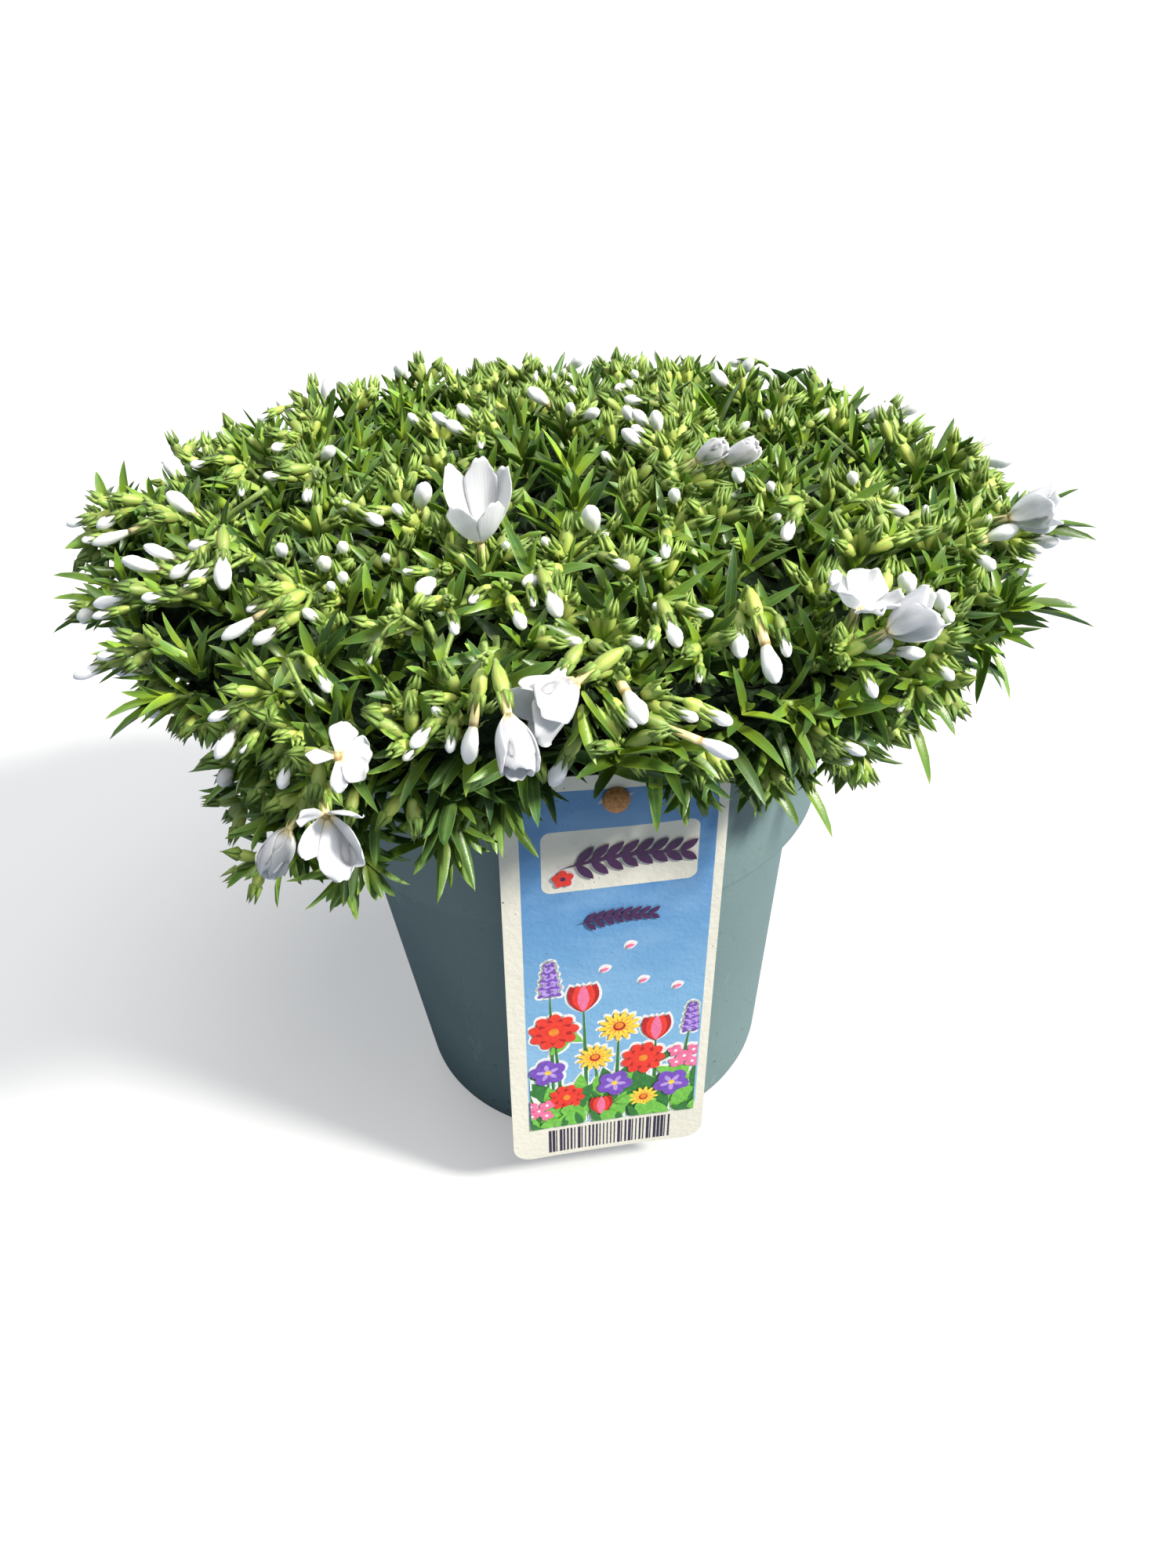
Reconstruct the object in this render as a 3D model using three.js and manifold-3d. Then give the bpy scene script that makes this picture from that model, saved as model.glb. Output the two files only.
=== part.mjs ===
// A mat-forming phlox in a round nursery pot, with its label and push peg. Millimetres, +Z up.
// The origin is the middle of the pot's base. The label hangs on the -Y side.
import * as THREE from 'three';
import { mergeVertices } from 'three/addons/utils/BufferGeometryUtils.js';
import Module from 'manifold-3d';

const wasm = await Module();
wasm.setup();

// ---------------------------------------------------------------- driving dimensions

const GAP = 0.35;                 // air left between neighbouring pieces
const UP = new THREE.Vector3(0, 0, 1);

const POT = {
  height: 155,
  footRadius: 54.5,               // where the flat base ends
  baseRadius: 58,                 // just above the rounded foot
  footHeight: 4,
  wallTopRadius: 69.1,            // the wall just below the rim band
  bandBottom: 107.5,
  bandBottomRadius: 75.8,
  rimRadius: 77.3,
  wall: 1.6,
  floor: 2.6,
  sides: 36,
  drainCount: 6,
  drainRadius: 4,
  drainCircle: 40,
};

const SOIL = { top: 140, crownHoleRadius: 9.4, crownHoleFloor: 118 };

const LABEL = {
  width: 59.3,
  height: 145.6,
  thickness: 0.8,
  cornerRadius: 6,
  top: 159,                       // height of its upper edge above the floor
  azimuth: 7,                     // degrees from the front towards +X
  turn: 3.15,                     // degrees, the lower end swings towards -X
  lean: 2.8,                      // degrees, the upper end leans out
  standOff: 1.2,                  // from the rim band, behind the peg
  holeRadius: 2.6,
  holeBelowTop: 7.4,
};

const PEG = { headRadius: 3.5, headHeight: 3.4, stalkRadius: 1.6, stalkLength: 7, sides: 14 };

// The bushy surface that the shoot tips reach, every 30 degrees of azimuth from -180 (which is -X)
// through -90 (the front) to 150.
const MOUND = {
  top: 221,
  radius:   [136, 124, 120, 114, 118, 129, 134, 127, 131, 132, 135, 143],
  edge:     [190, 184, 180, 188, 184, 183, 190, 197, 198, 198, 201, 197],
  shoulder: [205, 202, 201, 202, 201, 203, 205, 208, 208, 208, 212, 209],
  skirt:    [164, 162, 158, 176, 164, 160, 162, 160, 160, 160, 160, 160],
};

// The core that the shoots stand out of: a faceted bush whose raised points are the tufts.
// Runs count from 0 at the top centre, round the edge, to 1 under the bush.
const CORE = {
  depth: 13.5,
  floor: 156.5,
  detail: 6,
  tuftRise: 7.5,
  tuftSpacing: 21,
  unevenness: 1.6,
  edgeRun: 0.4,
  lastTuftRun: 0.7,
  flatRun: 0.8,
};
// The core's section, as shares of the mound's radius and as heights over or under its tables.
const SECTION = {
  topShare: 0.5,
  topDrop: 3,
  shoulderShare: 0.87,
  shoulderRise: 1,
  flankShare: 0.95,
  flankRise: 5,
  skirtShare: 0.84,
  skirtRise: 8,
  rimRadius: 80,
  rimRise: 3,
  rimDrop: 6,
  floorRadius: 60,
};

// Where stems start inside the core: how far in from its edge, and between which heights.
const HEART = { inset: 12, below: 14, low: 181, high: 202 };
const NECK = { radius: 70, floor: 141.2, top: 166, crownRadius: 9, crownFloor: 118.5, sides: 20, bevel: 6 };
const RIM_CLEARANCE = { inner: 74.2, outer: 78.2, bottom: 90, over: 1 };

const LEAF = { length: 17.5, width: 3.2, thickness: 1.5, sunk: 3, shortest: 0.85, longest: 1.1 };
const TRIANGLE = { side: Math.sqrt(3), height: 1.5 };   // of one drawn in a circle of radius 1
const TUFT_LEAVES = { leaves: 5, ring: 3.6, drop: 3.5, lean: 0.95 };
const SPRAY_LEAVES = { leaves: 5, ring: 1.3, drop: 0.5, lean: 0.75 };
// How a ring of leaves is uneven, and how the bud or calyx beside it stands.
const SHOOT = {
  unevenTurn: 0.35,
  gap: 0.6,
  leastLean: 0.8,
  mostLean: 1.2,
  budTurn: -0.45,
  budLean: 0.3,
  budShare: 0.6,
};
const FOLIAGE_SEED = 20417;
const BUD = { length: 12.5, radius: 2.1 };
const CALYX = { length: 9.5, radius: 1.7 };
const STALK = { radius: 1.2, inset: 6, knee: 9, calyxFoot: 7, calyxLength: 11.2, calyxRadius: 2.1 };
const SPRAY_STEM = { radius: 1.5, inset: 8, rise: 20, kneeShare: 0.25 };
const SPRAY_KNOT = { radius: 3.8, stretch: 1.6 };

// Sprays that reach past the mound: azimuth in degrees, then where the spray ends.
const SPRAYS = [
  { azimuth: -137, radius: 113, height: 156 },
  { azimuth: -128, radius: 119, height: 150 },
  { azimuth: -119, radius: 114, height: 144 },
  { azimuth: -108, radius: 101, height: 155 },
  { azimuth: -101, radius: 91, height: 158 },
  { azimuth: -72, radius: 90, height: 160 },
  { azimuth: -59, radius: 100, height: 158 },
  { azimuth: -46, radius: 109, height: 157 },
  { azimuth: -33, radius: 114, height: 156 },
  { azimuth: -26, radius: 133, height: 186 },
  { azimuth: -12, radius: 131, height: 193 },
  { azimuth: 172, radius: 132, height: 200 },
];

// Blooms: azimuth, radius and height of the throat; where the flower looks, as an azimuth and degrees
// above level; how far it is open, in degrees between a petal and its axis; and its petals' length.
const BLOOMS = [
  ['bloom_upright', -106.2, 62.5, 213.4, -118, 88, 29, 15],
  ['bloom_back_left', -33.6, 45.6, 216.9, 1, 31, 8, 8],
  ['bloom_back_right', -30, 53, 215.2, 1, 29, 11, 9],
  ['bloom_right_edge', -19.4, 120.6, 200.7, -19, 18, 26, 13.5],
  ['bloom_right_upper', -50.7, 102.3, 204.5, -102, 73, 64, 7.3],
  ['bloom_right_lower', -51.2, 113.5, 198.7, -1, 26, 24, 13],
  ['bloom_front_right', -88.9, 105.8, 200.7, -156, -22, 28, 12],
  ['bloom_front_left', -96.1, 116.2, 199.7, -75, -23, 16, 12],
  ['bloom_corner_open', -113.9, 121.1, 190.3, -61, 23, 77, 6.3],
  ['bloom_corner_half', -115.9, 123.5, 175.8, -76, -17, 43, 10.5],
  ['bloom_corner_shut', -122.8, 120.6, 165.9, -130, -40, 7, 11.6],
].map(([name, azimuth, radius, height, lookAzimuth, lookRise, open, petal]) => (
  { name, azimuth, radius, height, lookAzimuth, lookRise, open, petal }
));
const BLOOM = { tubeLength: 8, tubeRadius: 1.4, thickness: 0.9, sides: 15, bulge: 0.13 };
const BLOOM_CLEARANCE = { spare: 0.1, sides: 9 };
const THROAT = { radius: 0.45, least: 0.25, rise: 0.9, depth: 1 };
const PETAL_SHARES = [0.42, 1];     // rings along the petals
const NOTCH = 0.5;                  // share of a petal's length that two neighbours have in common

const COLOURS = {
  pot: 0x5f8084,
  soil: 0x2b221b,
  label: 0x5c9bd1,
  peg: 0xc98243,
  foliage: 0x4f7f2c,
  petal: 0xf2f2f6,
};

// ---------------------------------------------------------------- small helpers

// Seeded random numbers from 0 to 1.
function makeRandom(seed) {
  let state = seed >>> 0;
  return () => {
    state = (state + 0x6d2b79f5) >>> 0;
    let mixed = Math.imul(state ^ (state >>> 15), 1 | state);
    mixed = (mixed + Math.imul(mixed ^ (mixed >>> 7), 61 | mixed)) ^ mixed;
    return ((mixed ^ (mixed >>> 14)) >>> 0) / 4294967296;
  };
}

const radians = THREE.MathUtils.degToRad;
const lerp = THREE.MathUtils.lerp;

// A point at a radius and azimuth round the pot's axis.
function polar(radius, azimuth, height) {
  return new THREE.Vector3(radius * Math.cos(azimuth), radius * Math.sin(azimuth), height);
}

// Two unit vectors square to an axis, so that side, over and axis are right-handed.
function squareTo(axis) {
  const helper = Math.abs(axis.z) < 0.9 ? UP : new THREE.Vector3(1, 0, 0);
  const side = new THREE.Vector3().crossVectors(helper, axis).normalize();
  const over = new THREE.Vector3().crossVectors(axis, side);
  return [side, over];
}

// A closed skin: the grid of a sphere, each point moved to place(angle, run). run is 0 at the root and
// 1 at the tip, where all the angles meet.
function skin(around, along, place) {
  const geometry = new THREE.SphereGeometry(1, around, along);
  const position = geometry.attributes.position;
  for (let row = 0; row <= along; row += 1) {
    for (let column = 0; column <= around; column += 1) {
      const angle = Math.PI - (2 * Math.PI * (column % around)) / around;
      const point = place(angle, row / along, row);
      position.setXYZ(row * (around + 1) + column, point.x, point.y, point.z);
    }
  }
  return geometry;
}

// A geometry with only its shared vertices, as manifold-3d wants it.
function toSolid(geometry) {
  const bare = geometry.clone();
  for (const name of ['normal', 'uv', 'uv1', 'color']) bare.deleteAttribute(name);
  const merged = mergeVertices(bare, 1e-4);
  return new wasm.Manifold(new wasm.Mesh({
    numProp: 3,
    vertProperties: new Float32Array(merged.attributes.position.array),
    triVerts: new Uint32Array(merged.index.array),
  }));
}

function toGeometry(solid) {
  const { vertProperties, triVerts } = solid.getMesh();
  const geometry = new THREE.BufferGeometry();
  geometry.setAttribute('position', new THREE.BufferAttribute(vertProperties.slice(), 3));
  geometry.setIndex(new THREE.BufferAttribute(triVerts.slice(), 1));
  geometry.computeVertexNormals();
  return geometry;
}

function fuse(geometries) {
  return geometries.map(toSolid).reduce((whole, solid) => whole.add(solid));
}

// A ring or disc turned round +Z from [radius, height] points.
function turned(points, sides) {
  const geometry = new THREE.LatheGeometry(points.map(([r, z]) => new THREE.Vector2(r, z)), sides);
  return geometry.rotateX(Math.PI / 2);
}

const group = new THREE.Group();

function addPiece(name, geometry, colour, roughness) {
  const material = new THREE.MeshStandardMaterial({ color: colour, roughness, metalness: 0 });
  const mesh = new THREE.Mesh(geometry, material);
  mesh.name = name;
  group.add(mesh);
  return mesh;
}

// ---------------------------------------------------------------- pot and soil

const potSlope = (POT.wallTopRadius - POT.baseRadius) / (POT.bandBottom - POT.footHeight);
const bandSlope = (POT.rimRadius - POT.bandBottomRadius) / (POT.height - POT.bandBottom);

// Outer radius of the pot's wall or rim band at a height.
function potRadius(height) {
  if (height < POT.bandBottom) return POT.baseRadius + potSlope * (height - POT.footHeight);
  return POT.bandBottomRadius + bandSlope * (height - POT.bandBottom);
}

function potProfile() {
  const shelf = POT.bandBottom + POT.wall;
  const inner = (height) => potRadius(height) - POT.wall;
  return [
    [0, 0],
    [POT.footRadius, 0],
    [POT.footRadius + 2.4, 1.1],
    [POT.baseRadius, POT.footHeight],
    [POT.wallTopRadius, POT.bandBottom],
    [POT.bandBottomRadius, POT.bandBottom],
    [POT.rimRadius, POT.height - 0.6],
    [POT.rimRadius - 0.5, POT.height],
    [POT.rimRadius - POT.wall + 0.4, POT.height],
    [inner(POT.height), POT.height - 0.6],
    [inner(shelf), shelf],
    [POT.wallTopRadius - POT.wall, shelf],
    [POT.baseRadius - POT.wall, POT.footHeight + 1],
    [POT.footRadius - 0.5, POT.floor],
    [0, POT.floor],
  ];
}

function makePot() {
  let pot = toSolid(turned(potProfile(), POT.sides));
  for (let i = 0; i < POT.drainCount; i += 1) {
    const azimuth = (2 * Math.PI * (i + 0.5)) / POT.drainCount;
    const drain = new THREE.CylinderGeometry(POT.drainRadius, POT.drainRadius, 3 * POT.floor, 12);
    drain.rotateX(Math.PI / 2);
    drain.translate(POT.drainCircle * Math.cos(azimuth), POT.drainCircle * Math.sin(azimuth), POT.floor / 2);
    pot = pot.subtract(toSolid(drain));
  }
  const peg = toSolid(pegGeometry(PEG.stalkRadius + GAP, 0.1));
  return toGeometry(pot.subtract(peg));
}

function makeSoil() {
  const shelf = POT.bandBottom + POT.wall + GAP;
  const inner = (height) => potRadius(height) - POT.wall - GAP;
  return turned([
    [0, POT.floor + GAP],
    [POT.footRadius - 1, POT.floor + GAP],
    [POT.baseRadius - POT.wall - GAP, POT.footHeight + 1.6],
    [POT.wallTopRadius - POT.wall - GAP, shelf],
    [inner(shelf) - 0.1, shelf],
    [inner(SOIL.top), SOIL.top],
    [SOIL.crownHoleRadius, SOIL.top],
    [SOIL.crownHoleRadius, SOIL.crownHoleFloor],
    [0, SOIL.crownHoleFloor],
  ], POT.sides);
}

// ---------------------------------------------------------------- label and peg

// The label hangs off the rim band. Its own frame: x across, y up along it, z out of its front.
const labelLean = radians(LABEL.lean);
const labelFrame = new THREE.Matrix4();

{
  const azimuth = radians(LABEL.azimuth) - Math.PI / 2;
  const outward = polar(1, azimuth, 0);
  const front = outward.clone().multiplyScalar(Math.cos(labelLean));
  front.z = -Math.sin(labelLean);
  const across = new THREE.Vector3().crossVectors(UP, front).normalize();
  const along = new THREE.Vector3().crossVectors(front, across);
  const pegHeight = LABEL.top - LABEL.holeBelowTop;
  const middle = outward.multiplyScalar(potRadius(pegHeight) + LABEL.standOff);
  middle.z = pegHeight;
  labelFrame.makeBasis(across, along, front);
  labelFrame.setPosition(middle);
  labelFrame.multiply(new THREE.Matrix4().makeRotationZ(-radians(LABEL.turn)));
}

// Rounded rectangle in the label's frame, with the peg's hole at its origin.
function labelOutline(grow) {
  const left = -LABEL.width / 2 - grow;
  const right = LABEL.width / 2 + grow;
  const top = LABEL.holeBelowTop + grow;
  const bottom = LABEL.holeBelowTop - LABEL.height - grow;
  const r = LABEL.cornerRadius;
  const outline = new THREE.Shape();
  outline.moveTo(left + r, bottom);
  outline.absarc(right - r, bottom + r, r, -Math.PI / 2, 0);
  outline.absarc(right - r, top - r, r, 0, Math.PI / 2);
  outline.absarc(left + r, top - r, r, Math.PI / 2, Math.PI);
  outline.absarc(left + r, bottom + r, r, Math.PI, 1.5 * Math.PI);
  return outline;
}

function makeLabel() {
  const outline = labelOutline(0);
  const hole = new THREE.Path();
  hole.absarc(0, 0, LABEL.holeRadius, 0, 2 * Math.PI, true);
  outline.holes.push(hole);
  const settings = { depth: LABEL.thickness, bevelEnabled: false, curveSegments: 5 };
  return new THREE.ExtrudeGeometry(outline, settings).applyMatrix4(labelFrame);
}

// The peg's axis is the label's z. grow makes a larger copy, for cutting its hole and keeping leaves off.
function pegGeometry(stalkRadius, grow) {
  const back = LABEL.thickness + GAP - grow;
  const head = PEG.headRadius + grow;
  const dome = PEG.headHeight + grow;
  const points = [
    [0, -PEG.stalkLength - 4 * grow],
    [stalkRadius, -PEG.stalkLength - 4 * grow],
    [stalkRadius, back],
    [head * 0.96, back],
    [head, back + dome * 0.25],
    [head * 0.86, back + dome * 0.65],
    [head * 0.5, back + dome * 0.93],
    [0, back + dome],
  ];
  return turned(points, PEG.sides).applyMatrix4(labelFrame);
}

// ---------------------------------------------------------------- foliage

// A smooth value round the mound from a table with one value every 30 degrees.
function around(table, azimuth) {
  const count = table.length;
  const place = (((azimuth + Math.PI) / (2 * Math.PI)) % 1 + 1) % 1 * count;
  const first = Math.floor(place);
  const [a, b, c, d] = [-1, 0, 1, 2].map((step) => table[(first + step + count) % count]);
  const f = place - first;
  return 0.5 * (2 * b + (c - a) * f + (2 * a - 5 * b + 4 * c - d) * f * f + (3 * b - a - 3 * c + d) * f ** 3);
}

// The core's section at an azimuth, the mound's own shape drawn in, closed flat above the pot's rim.
function coreSection(azimuth) {
  const radius = around(MOUND.radius, azimuth) - CORE.depth;
  const shoulder = around(MOUND.shoulder, azimuth) - CORE.depth;
  const edge = around(MOUND.edge, azimuth);
  const skirt = around(MOUND.skirt, azimuth);
  const top = MOUND.top - CORE.depth;
  return new THREE.SplineCurve([
    new THREE.Vector2(0, top),
    new THREE.Vector2(SECTION.topShare * radius, top - SECTION.topDrop),
    new THREE.Vector2(SECTION.shoulderShare * radius, shoulder + SECTION.shoulderRise),
    new THREE.Vector2(radius, edge),
    new THREE.Vector2(SECTION.flankShare * radius, (edge + skirt) / 2 + SECTION.flankRise),
    new THREE.Vector2(SECTION.skirtShare * radius, skirt + SECTION.skirtRise),
    new THREE.Vector2(SECTION.rimRadius, Math.max(CORE.floor + SECTION.rimRise, skirt - SECTION.rimDrop)),
    new THREE.Vector2(SECTION.floorRadius, CORE.floor),
    new THREE.Vector2(0, CORE.floor),
  ]);
}

// Which run along the section leaves a share of its swept area behind it, from the top down.
function makeRunOfShare(section) {
  const steps = 160;
  const areas = [0];
  let before = section.getPoint(0);
  for (let i = 1; i <= steps; i += 1) {
    const now = section.getPoint(i / steps);
    areas.push(areas[i - 1] + (before.x + now.x) * before.distanceTo(now));
    before = now;
  }
  return (share) => {
    const target = share * areas[steps];
    const i = Math.max(1, areas.findIndex((area) => area >= target - 1e-9));
    return (i - 1 + (target - areas[i - 1]) / (areas[i] - areas[i - 1])) / steps;
  };
}

// The core as a faceted bush, and the tufts: its raised points with the direction each one grows in.
// The points nearest the bush's edge are the first to be raised, so that the tufts stand evenly there.
function makeCore(random) {
  const globe = new THREE.IcosahedronGeometry(1, CORE.detail);
  globe.deleteAttribute('normal');
  globe.deleteAttribute('uv');
  const core = mergeVertices(globe, 1e-4);
  const position = core.attributes.position;
  const runOfShare = makeRunOfShare(coreSection(0));
  const points = Array.from({ length: position.count }, (_, index) => {
    const direction = new THREE.Vector3().fromBufferAttribute(position, index);
    const azimuth = Math.atan2(direction.y, direction.x);
    const run = THREE.MathUtils.clamp(runOfShare((1 - direction.z) / 2), 0, 1);
    const section = coreSection(azimuth);
    const point = section.getPoint(run);
    const tangent = section.getTangent(run);
    const outward = polar(-tangent.y, azimuth, tangent.x).normalize();
    return { index, run, outward, place: polar(point.x, azimuth, point.y) };
  });
  points.sort((a, b) => Math.abs(a.run - CORE.edgeRun) - Math.abs(b.run - CORE.edgeRun));
  const tufts = [];
  for (const { index, run, outward, place } of points) {
    const isApart = tufts.every(({ base }) => base.distanceTo(place) > CORE.tuftSpacing);
    const isTuft = isApart && run < CORE.lastTuftRun;
    const base = place.clone();
    if (isTuft) place.addScaledVector(outward, CORE.tuftRise);
    else if (run < CORE.flatRun) place.addScaledVector(outward, -CORE.unevenness * random());
    if (isTuft) tufts.push({ base, top: place, outward });
    position.setXYZ(index, place.x, place.y, place.z);
  }
  return { core, tufts };
}

// The bare stems between the bush and the soil, down to the crown in the soil's hole.
function neckGeometry() {
  return turned([
    [0, NECK.crownFloor],
    [NECK.crownRadius, NECK.crownFloor],
    [NECK.crownRadius, NECK.floor],
    [NECK.radius - NECK.bevel, NECK.floor],
    [NECK.radius, NECK.floor + NECK.bevel],
    [NECK.radius, NECK.top],
    [0, NECK.top],
  ], NECK.sides);
}

// A three-sided awl-shaped leaf, widest where it leaves its shoot.
function leaf(root, direction, outside, length) {
  const across = new THREE.Vector3().crossVectors(direction, outside).normalize();
  const face = new THREE.Vector3().crossVectors(across, direction);
  const cone = new THREE.ConeGeometry(1, 1, 3, 1);
  cone.translate(0, 0.5, 0);
  across.multiplyScalar(LEAF.width / TRIANGLE.side);
  face.multiplyScalar(LEAF.thickness / TRIANGLE.height);
  const pose = new THREE.Matrix4().makeBasis(across, direction.clone().multiplyScalar(length), face);
  return cone.applyMatrix4(pose.setPosition(root));
}

// A spindle: a bud or a closed calyx.
function spindle(root, direction, length, radius) {
  const [side, over] = squareTo(direction);
  const widths = [0, 1, 0];
  const reach = [0, 0.6, 1];
  return skin(4, 2, (angle, run, row) => root.clone()
    .addScaledVector(direction, reach[row] * length)
    .addScaledVector(side, widths[row] * radius * Math.cos(angle))
    .addScaledVector(over, widths[row] * radius * Math.sin(angle)));
}

// A direction that leans away from an axis, and the direction square to the axis that it leans to.
function leaning(axis, turn, lean) {
  const [side, over] = squareTo(axis);
  const sideways = side.multiplyScalar(Math.cos(turn)).addScaledVector(over, Math.sin(turn));
  const direction = axis.clone().multiplyScalar(Math.cos(lean)).addScaledVector(sideways, Math.sin(lean));
  return { direction, sideways };
}

// A ring of leaves and a bud or calyx beside its middle, round the top of a tuft.
function shoot(top, axis, { leaves, ring, drop, lean }, random) {
  const start = random() * 2 * Math.PI;
  const rootAt = (sideways, direction) => top.clone()
    .addScaledVector(sideways, ring)
    .addScaledVector(axis, -drop)
    .addScaledVector(direction, -LEAF.sunk);
  const pieces = [];
  for (let i = 0; i < leaves; i += 1) {
    const turn = start + (2 * Math.PI * (i + SHOOT.unevenTurn * random())) / (leaves + SHOOT.gap);
    const leanHere = lean * lerp(SHOOT.leastLean, SHOOT.mostLean, random());
    const { direction, sideways } = leaning(axis, turn, leanHere);
    const length = LEAF.length * lerp(LEAF.shortest, LEAF.longest, random());
    pieces.push(leaf(rootAt(sideways, direction), direction, axis, length));
  }
  const { direction, sideways } = leaning(axis, start + SHOOT.budTurn, SHOOT.budLean * lean);
  const { length, radius } = random() < SHOOT.budShare ? BUD : CALYX;
  pieces.push(spindle(rootAt(sideways, direction), direction, length + LEAF.sunk, radius));
  return pieces;
}

// A three-sided stem along a curve.
function stem(path, radius) {
  const corners = [0, 1, 2].map((corner) => {
    const angle = (2 * Math.PI * corner) / 3;
    return new THREE.Vector2(radius * Math.cos(angle), radius * Math.sin(angle));
  });
  return new THREE.ExtrudeGeometry(new THREE.Shape(corners), { steps: 2, extrudePath: path });
}

// A point well inside the core, on the way to a place at its edge or above it.
function anchor(angle, radius, height) {
  const inner = Math.min(radius, around(MOUND.radius, angle) - CORE.depth - HEART.inset);
  return polar(inner, angle, THREE.MathUtils.clamp(height - HEART.below, HEART.low, HEART.high));
}

// A thin stem that leaves the mound, with a full ring of leaves at its end.
function spray({ azimuth, radius, height }, random) {
  const angle = radians(azimuth);
  const start = anchor(angle, radius - SPRAY_STEM.inset, around(MOUND.skirt, angle) + SPRAY_STEM.rise);
  const end = polar(radius, angle, height);
  const knee = polar(radius - 1, angle, lerp(start.z, height, SPRAY_STEM.kneeShare));
  const path = new THREE.QuadraticBezierCurve3(start, knee, end);
  const tip = path.getTangent(1);
  const knot = new THREE.IcosahedronGeometry(SPRAY_KNOT.radius, 0);
  knot.scale(1, 1, SPRAY_KNOT.stretch);
  knot.applyQuaternion(new THREE.Quaternion().setFromUnitVectors(UP, tip));
  knot.translate(end.x, end.y, end.z);
  return [stem(path, SPRAY_STEM.radius), knot, ...shoot(end, tip, SPRAY_LEAVES, random)];
}

// The stalk and calyx that carry a bloom, up to the foot of its tube.
function stalk(bloom) {
  const { root, axis } = bloomFrame(bloom);
  const start = anchor(radians(bloom.azimuth), Math.hypot(root.x, root.y) - STALK.inset, root.z);
  const knee = root.clone().addScaledVector(axis, -STALK.knee);
  const path = new THREE.QuadraticBezierCurve3(start, knee, root);
  const calyxFoot = root.clone().addScaledVector(axis, -STALK.calyxFoot);
  return [stem(path, STALK.radius), spindle(calyxFoot, axis, STALK.calyxLength, STALK.calyxRadius)];
}

function makeFoliage() {
  const random = makeRandom(FOLIAGE_SEED);
  const { core, tufts } = makeCore(random);
  const pieces = [core, neckGeometry()];
  for (const { top, outward } of tufts) pieces.push(...shoot(top, outward, TUFT_LEAVES, random));
  for (const place of SPRAYS) pieces.push(...spray(place, random));
  for (const bloom of BLOOMS) pieces.push(...stalk(bloom));
  let solid = fuse(pieces);
  for (const cutter of clearances()) solid = solid.subtract(toSolid(cutter));
  const parts = solid.decompose().sort((a, b) => b.volume() - a.volume());
  return toGeometry(parts[0]);
}

// What the foliage keeps clear of: the pot's rim, the label, the peg and every bloom.
function clearances() {
  const { inner, outer, bottom, over } = RIM_CLEARANCE;
  const top = POT.height + over;
  const ring = [[inner, bottom], [outer, bottom], [outer, top], [inner, top], [inner, bottom]];
  const rim = turned(ring, POT.sides);
  const depth = LABEL.thickness + 2 * GAP;
  const settings = { depth, bevelEnabled: false, curveSegments: 3 };
  const sheet = new THREE.ExtrudeGeometry(labelOutline(GAP), settings);
  sheet.translate(0, 0, -GAP).applyMatrix4(labelFrame);
  return [rim, sheet, pegGeometry(PEG.stalkRadius + GAP, GAP), ...BLOOMS.map(bloomClearance)];
}

// ---------------------------------------------------------------- blooms

function bloomFrame({ azimuth, radius, height, lookAzimuth, lookRise }) {
  const throat = polar(radius, radians(azimuth), height);
  const axis = polar(Math.cos(radians(lookRise)), radians(lookAzimuth), Math.sin(radians(lookRise)));
  const root = throat.clone().addScaledVector(axis, -BLOOM.tubeLength);
  return { root, axis };
}

// Radius and height of a petal's outer face, a share of the way from the throat to the tip.
function petalPoint({ open, petal }, share) {
  const angle = radians(open);
  const swell = BLOOM.bulge * Math.cos(angle) * Math.sin(Math.PI * share);
  return [
    BLOOM.tubeRadius + petal * (share * Math.sin(angle) + swell),
    BLOOM.tubeLength + petal * share * Math.cos(angle),
  ];
}

// Five lobes round one tube: the outer face runs up to the petal tips and the inner face back down.
function bloomGeometry(bloom) {
  const { root, axis } = bloomFrame(bloom);
  const [side, over] = squareTo(axis);
  const slope = radians(bloom.open);
  const inward = [-Math.cos(slope) * BLOOM.thickness, Math.sin(slope) * BLOOM.thickness];
  const rings = PETAL_SHARES.length;
  const rows = 4 + 2 * rings;
  const place = (angle, run, row) => {
    const column = Math.round(((Math.PI - angle) / (2 * Math.PI)) * BLOOM.sides) % BLOOM.sides;
    let radius = 0;
    let height = 0;
    if (row === 1) [radius, height] = [BLOOM.tubeRadius * 0.8, 0.2];
    if (row === 2) [radius, height] = [BLOOM.tubeRadius, BLOOM.tubeLength];
    if (row >= 3 && row < rows - 1) {
      const isOuter = row < 3 + rings;
      const ring = isOuter ? row - 3 : rows - 2 - row;
      const isNotched = ring === rings - 1 && column % 3 === 0;
      [radius, height] = petalPoint(bloom, PETAL_SHARES[ring] * (isNotched ? NOTCH : 1));
      if (!isOuter) {
        radius = Math.max(THROAT.least, radius + inward[0]);
        height += inward[1];
      }
    }
    if (row === rows - 1) [radius, height] = [THROAT.radius, BLOOM.tubeLength + THROAT.rise];
    if (row === rows) [radius, height] = [0, BLOOM.tubeLength - THROAT.depth];
    return root.clone()
      .addScaledVector(axis, height)
      .addScaledVector(side, radius * Math.cos(angle))
      .addScaledVector(over, radius * Math.sin(angle));
  };
  return skin(BLOOM.sides, rows, place);
}

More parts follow.
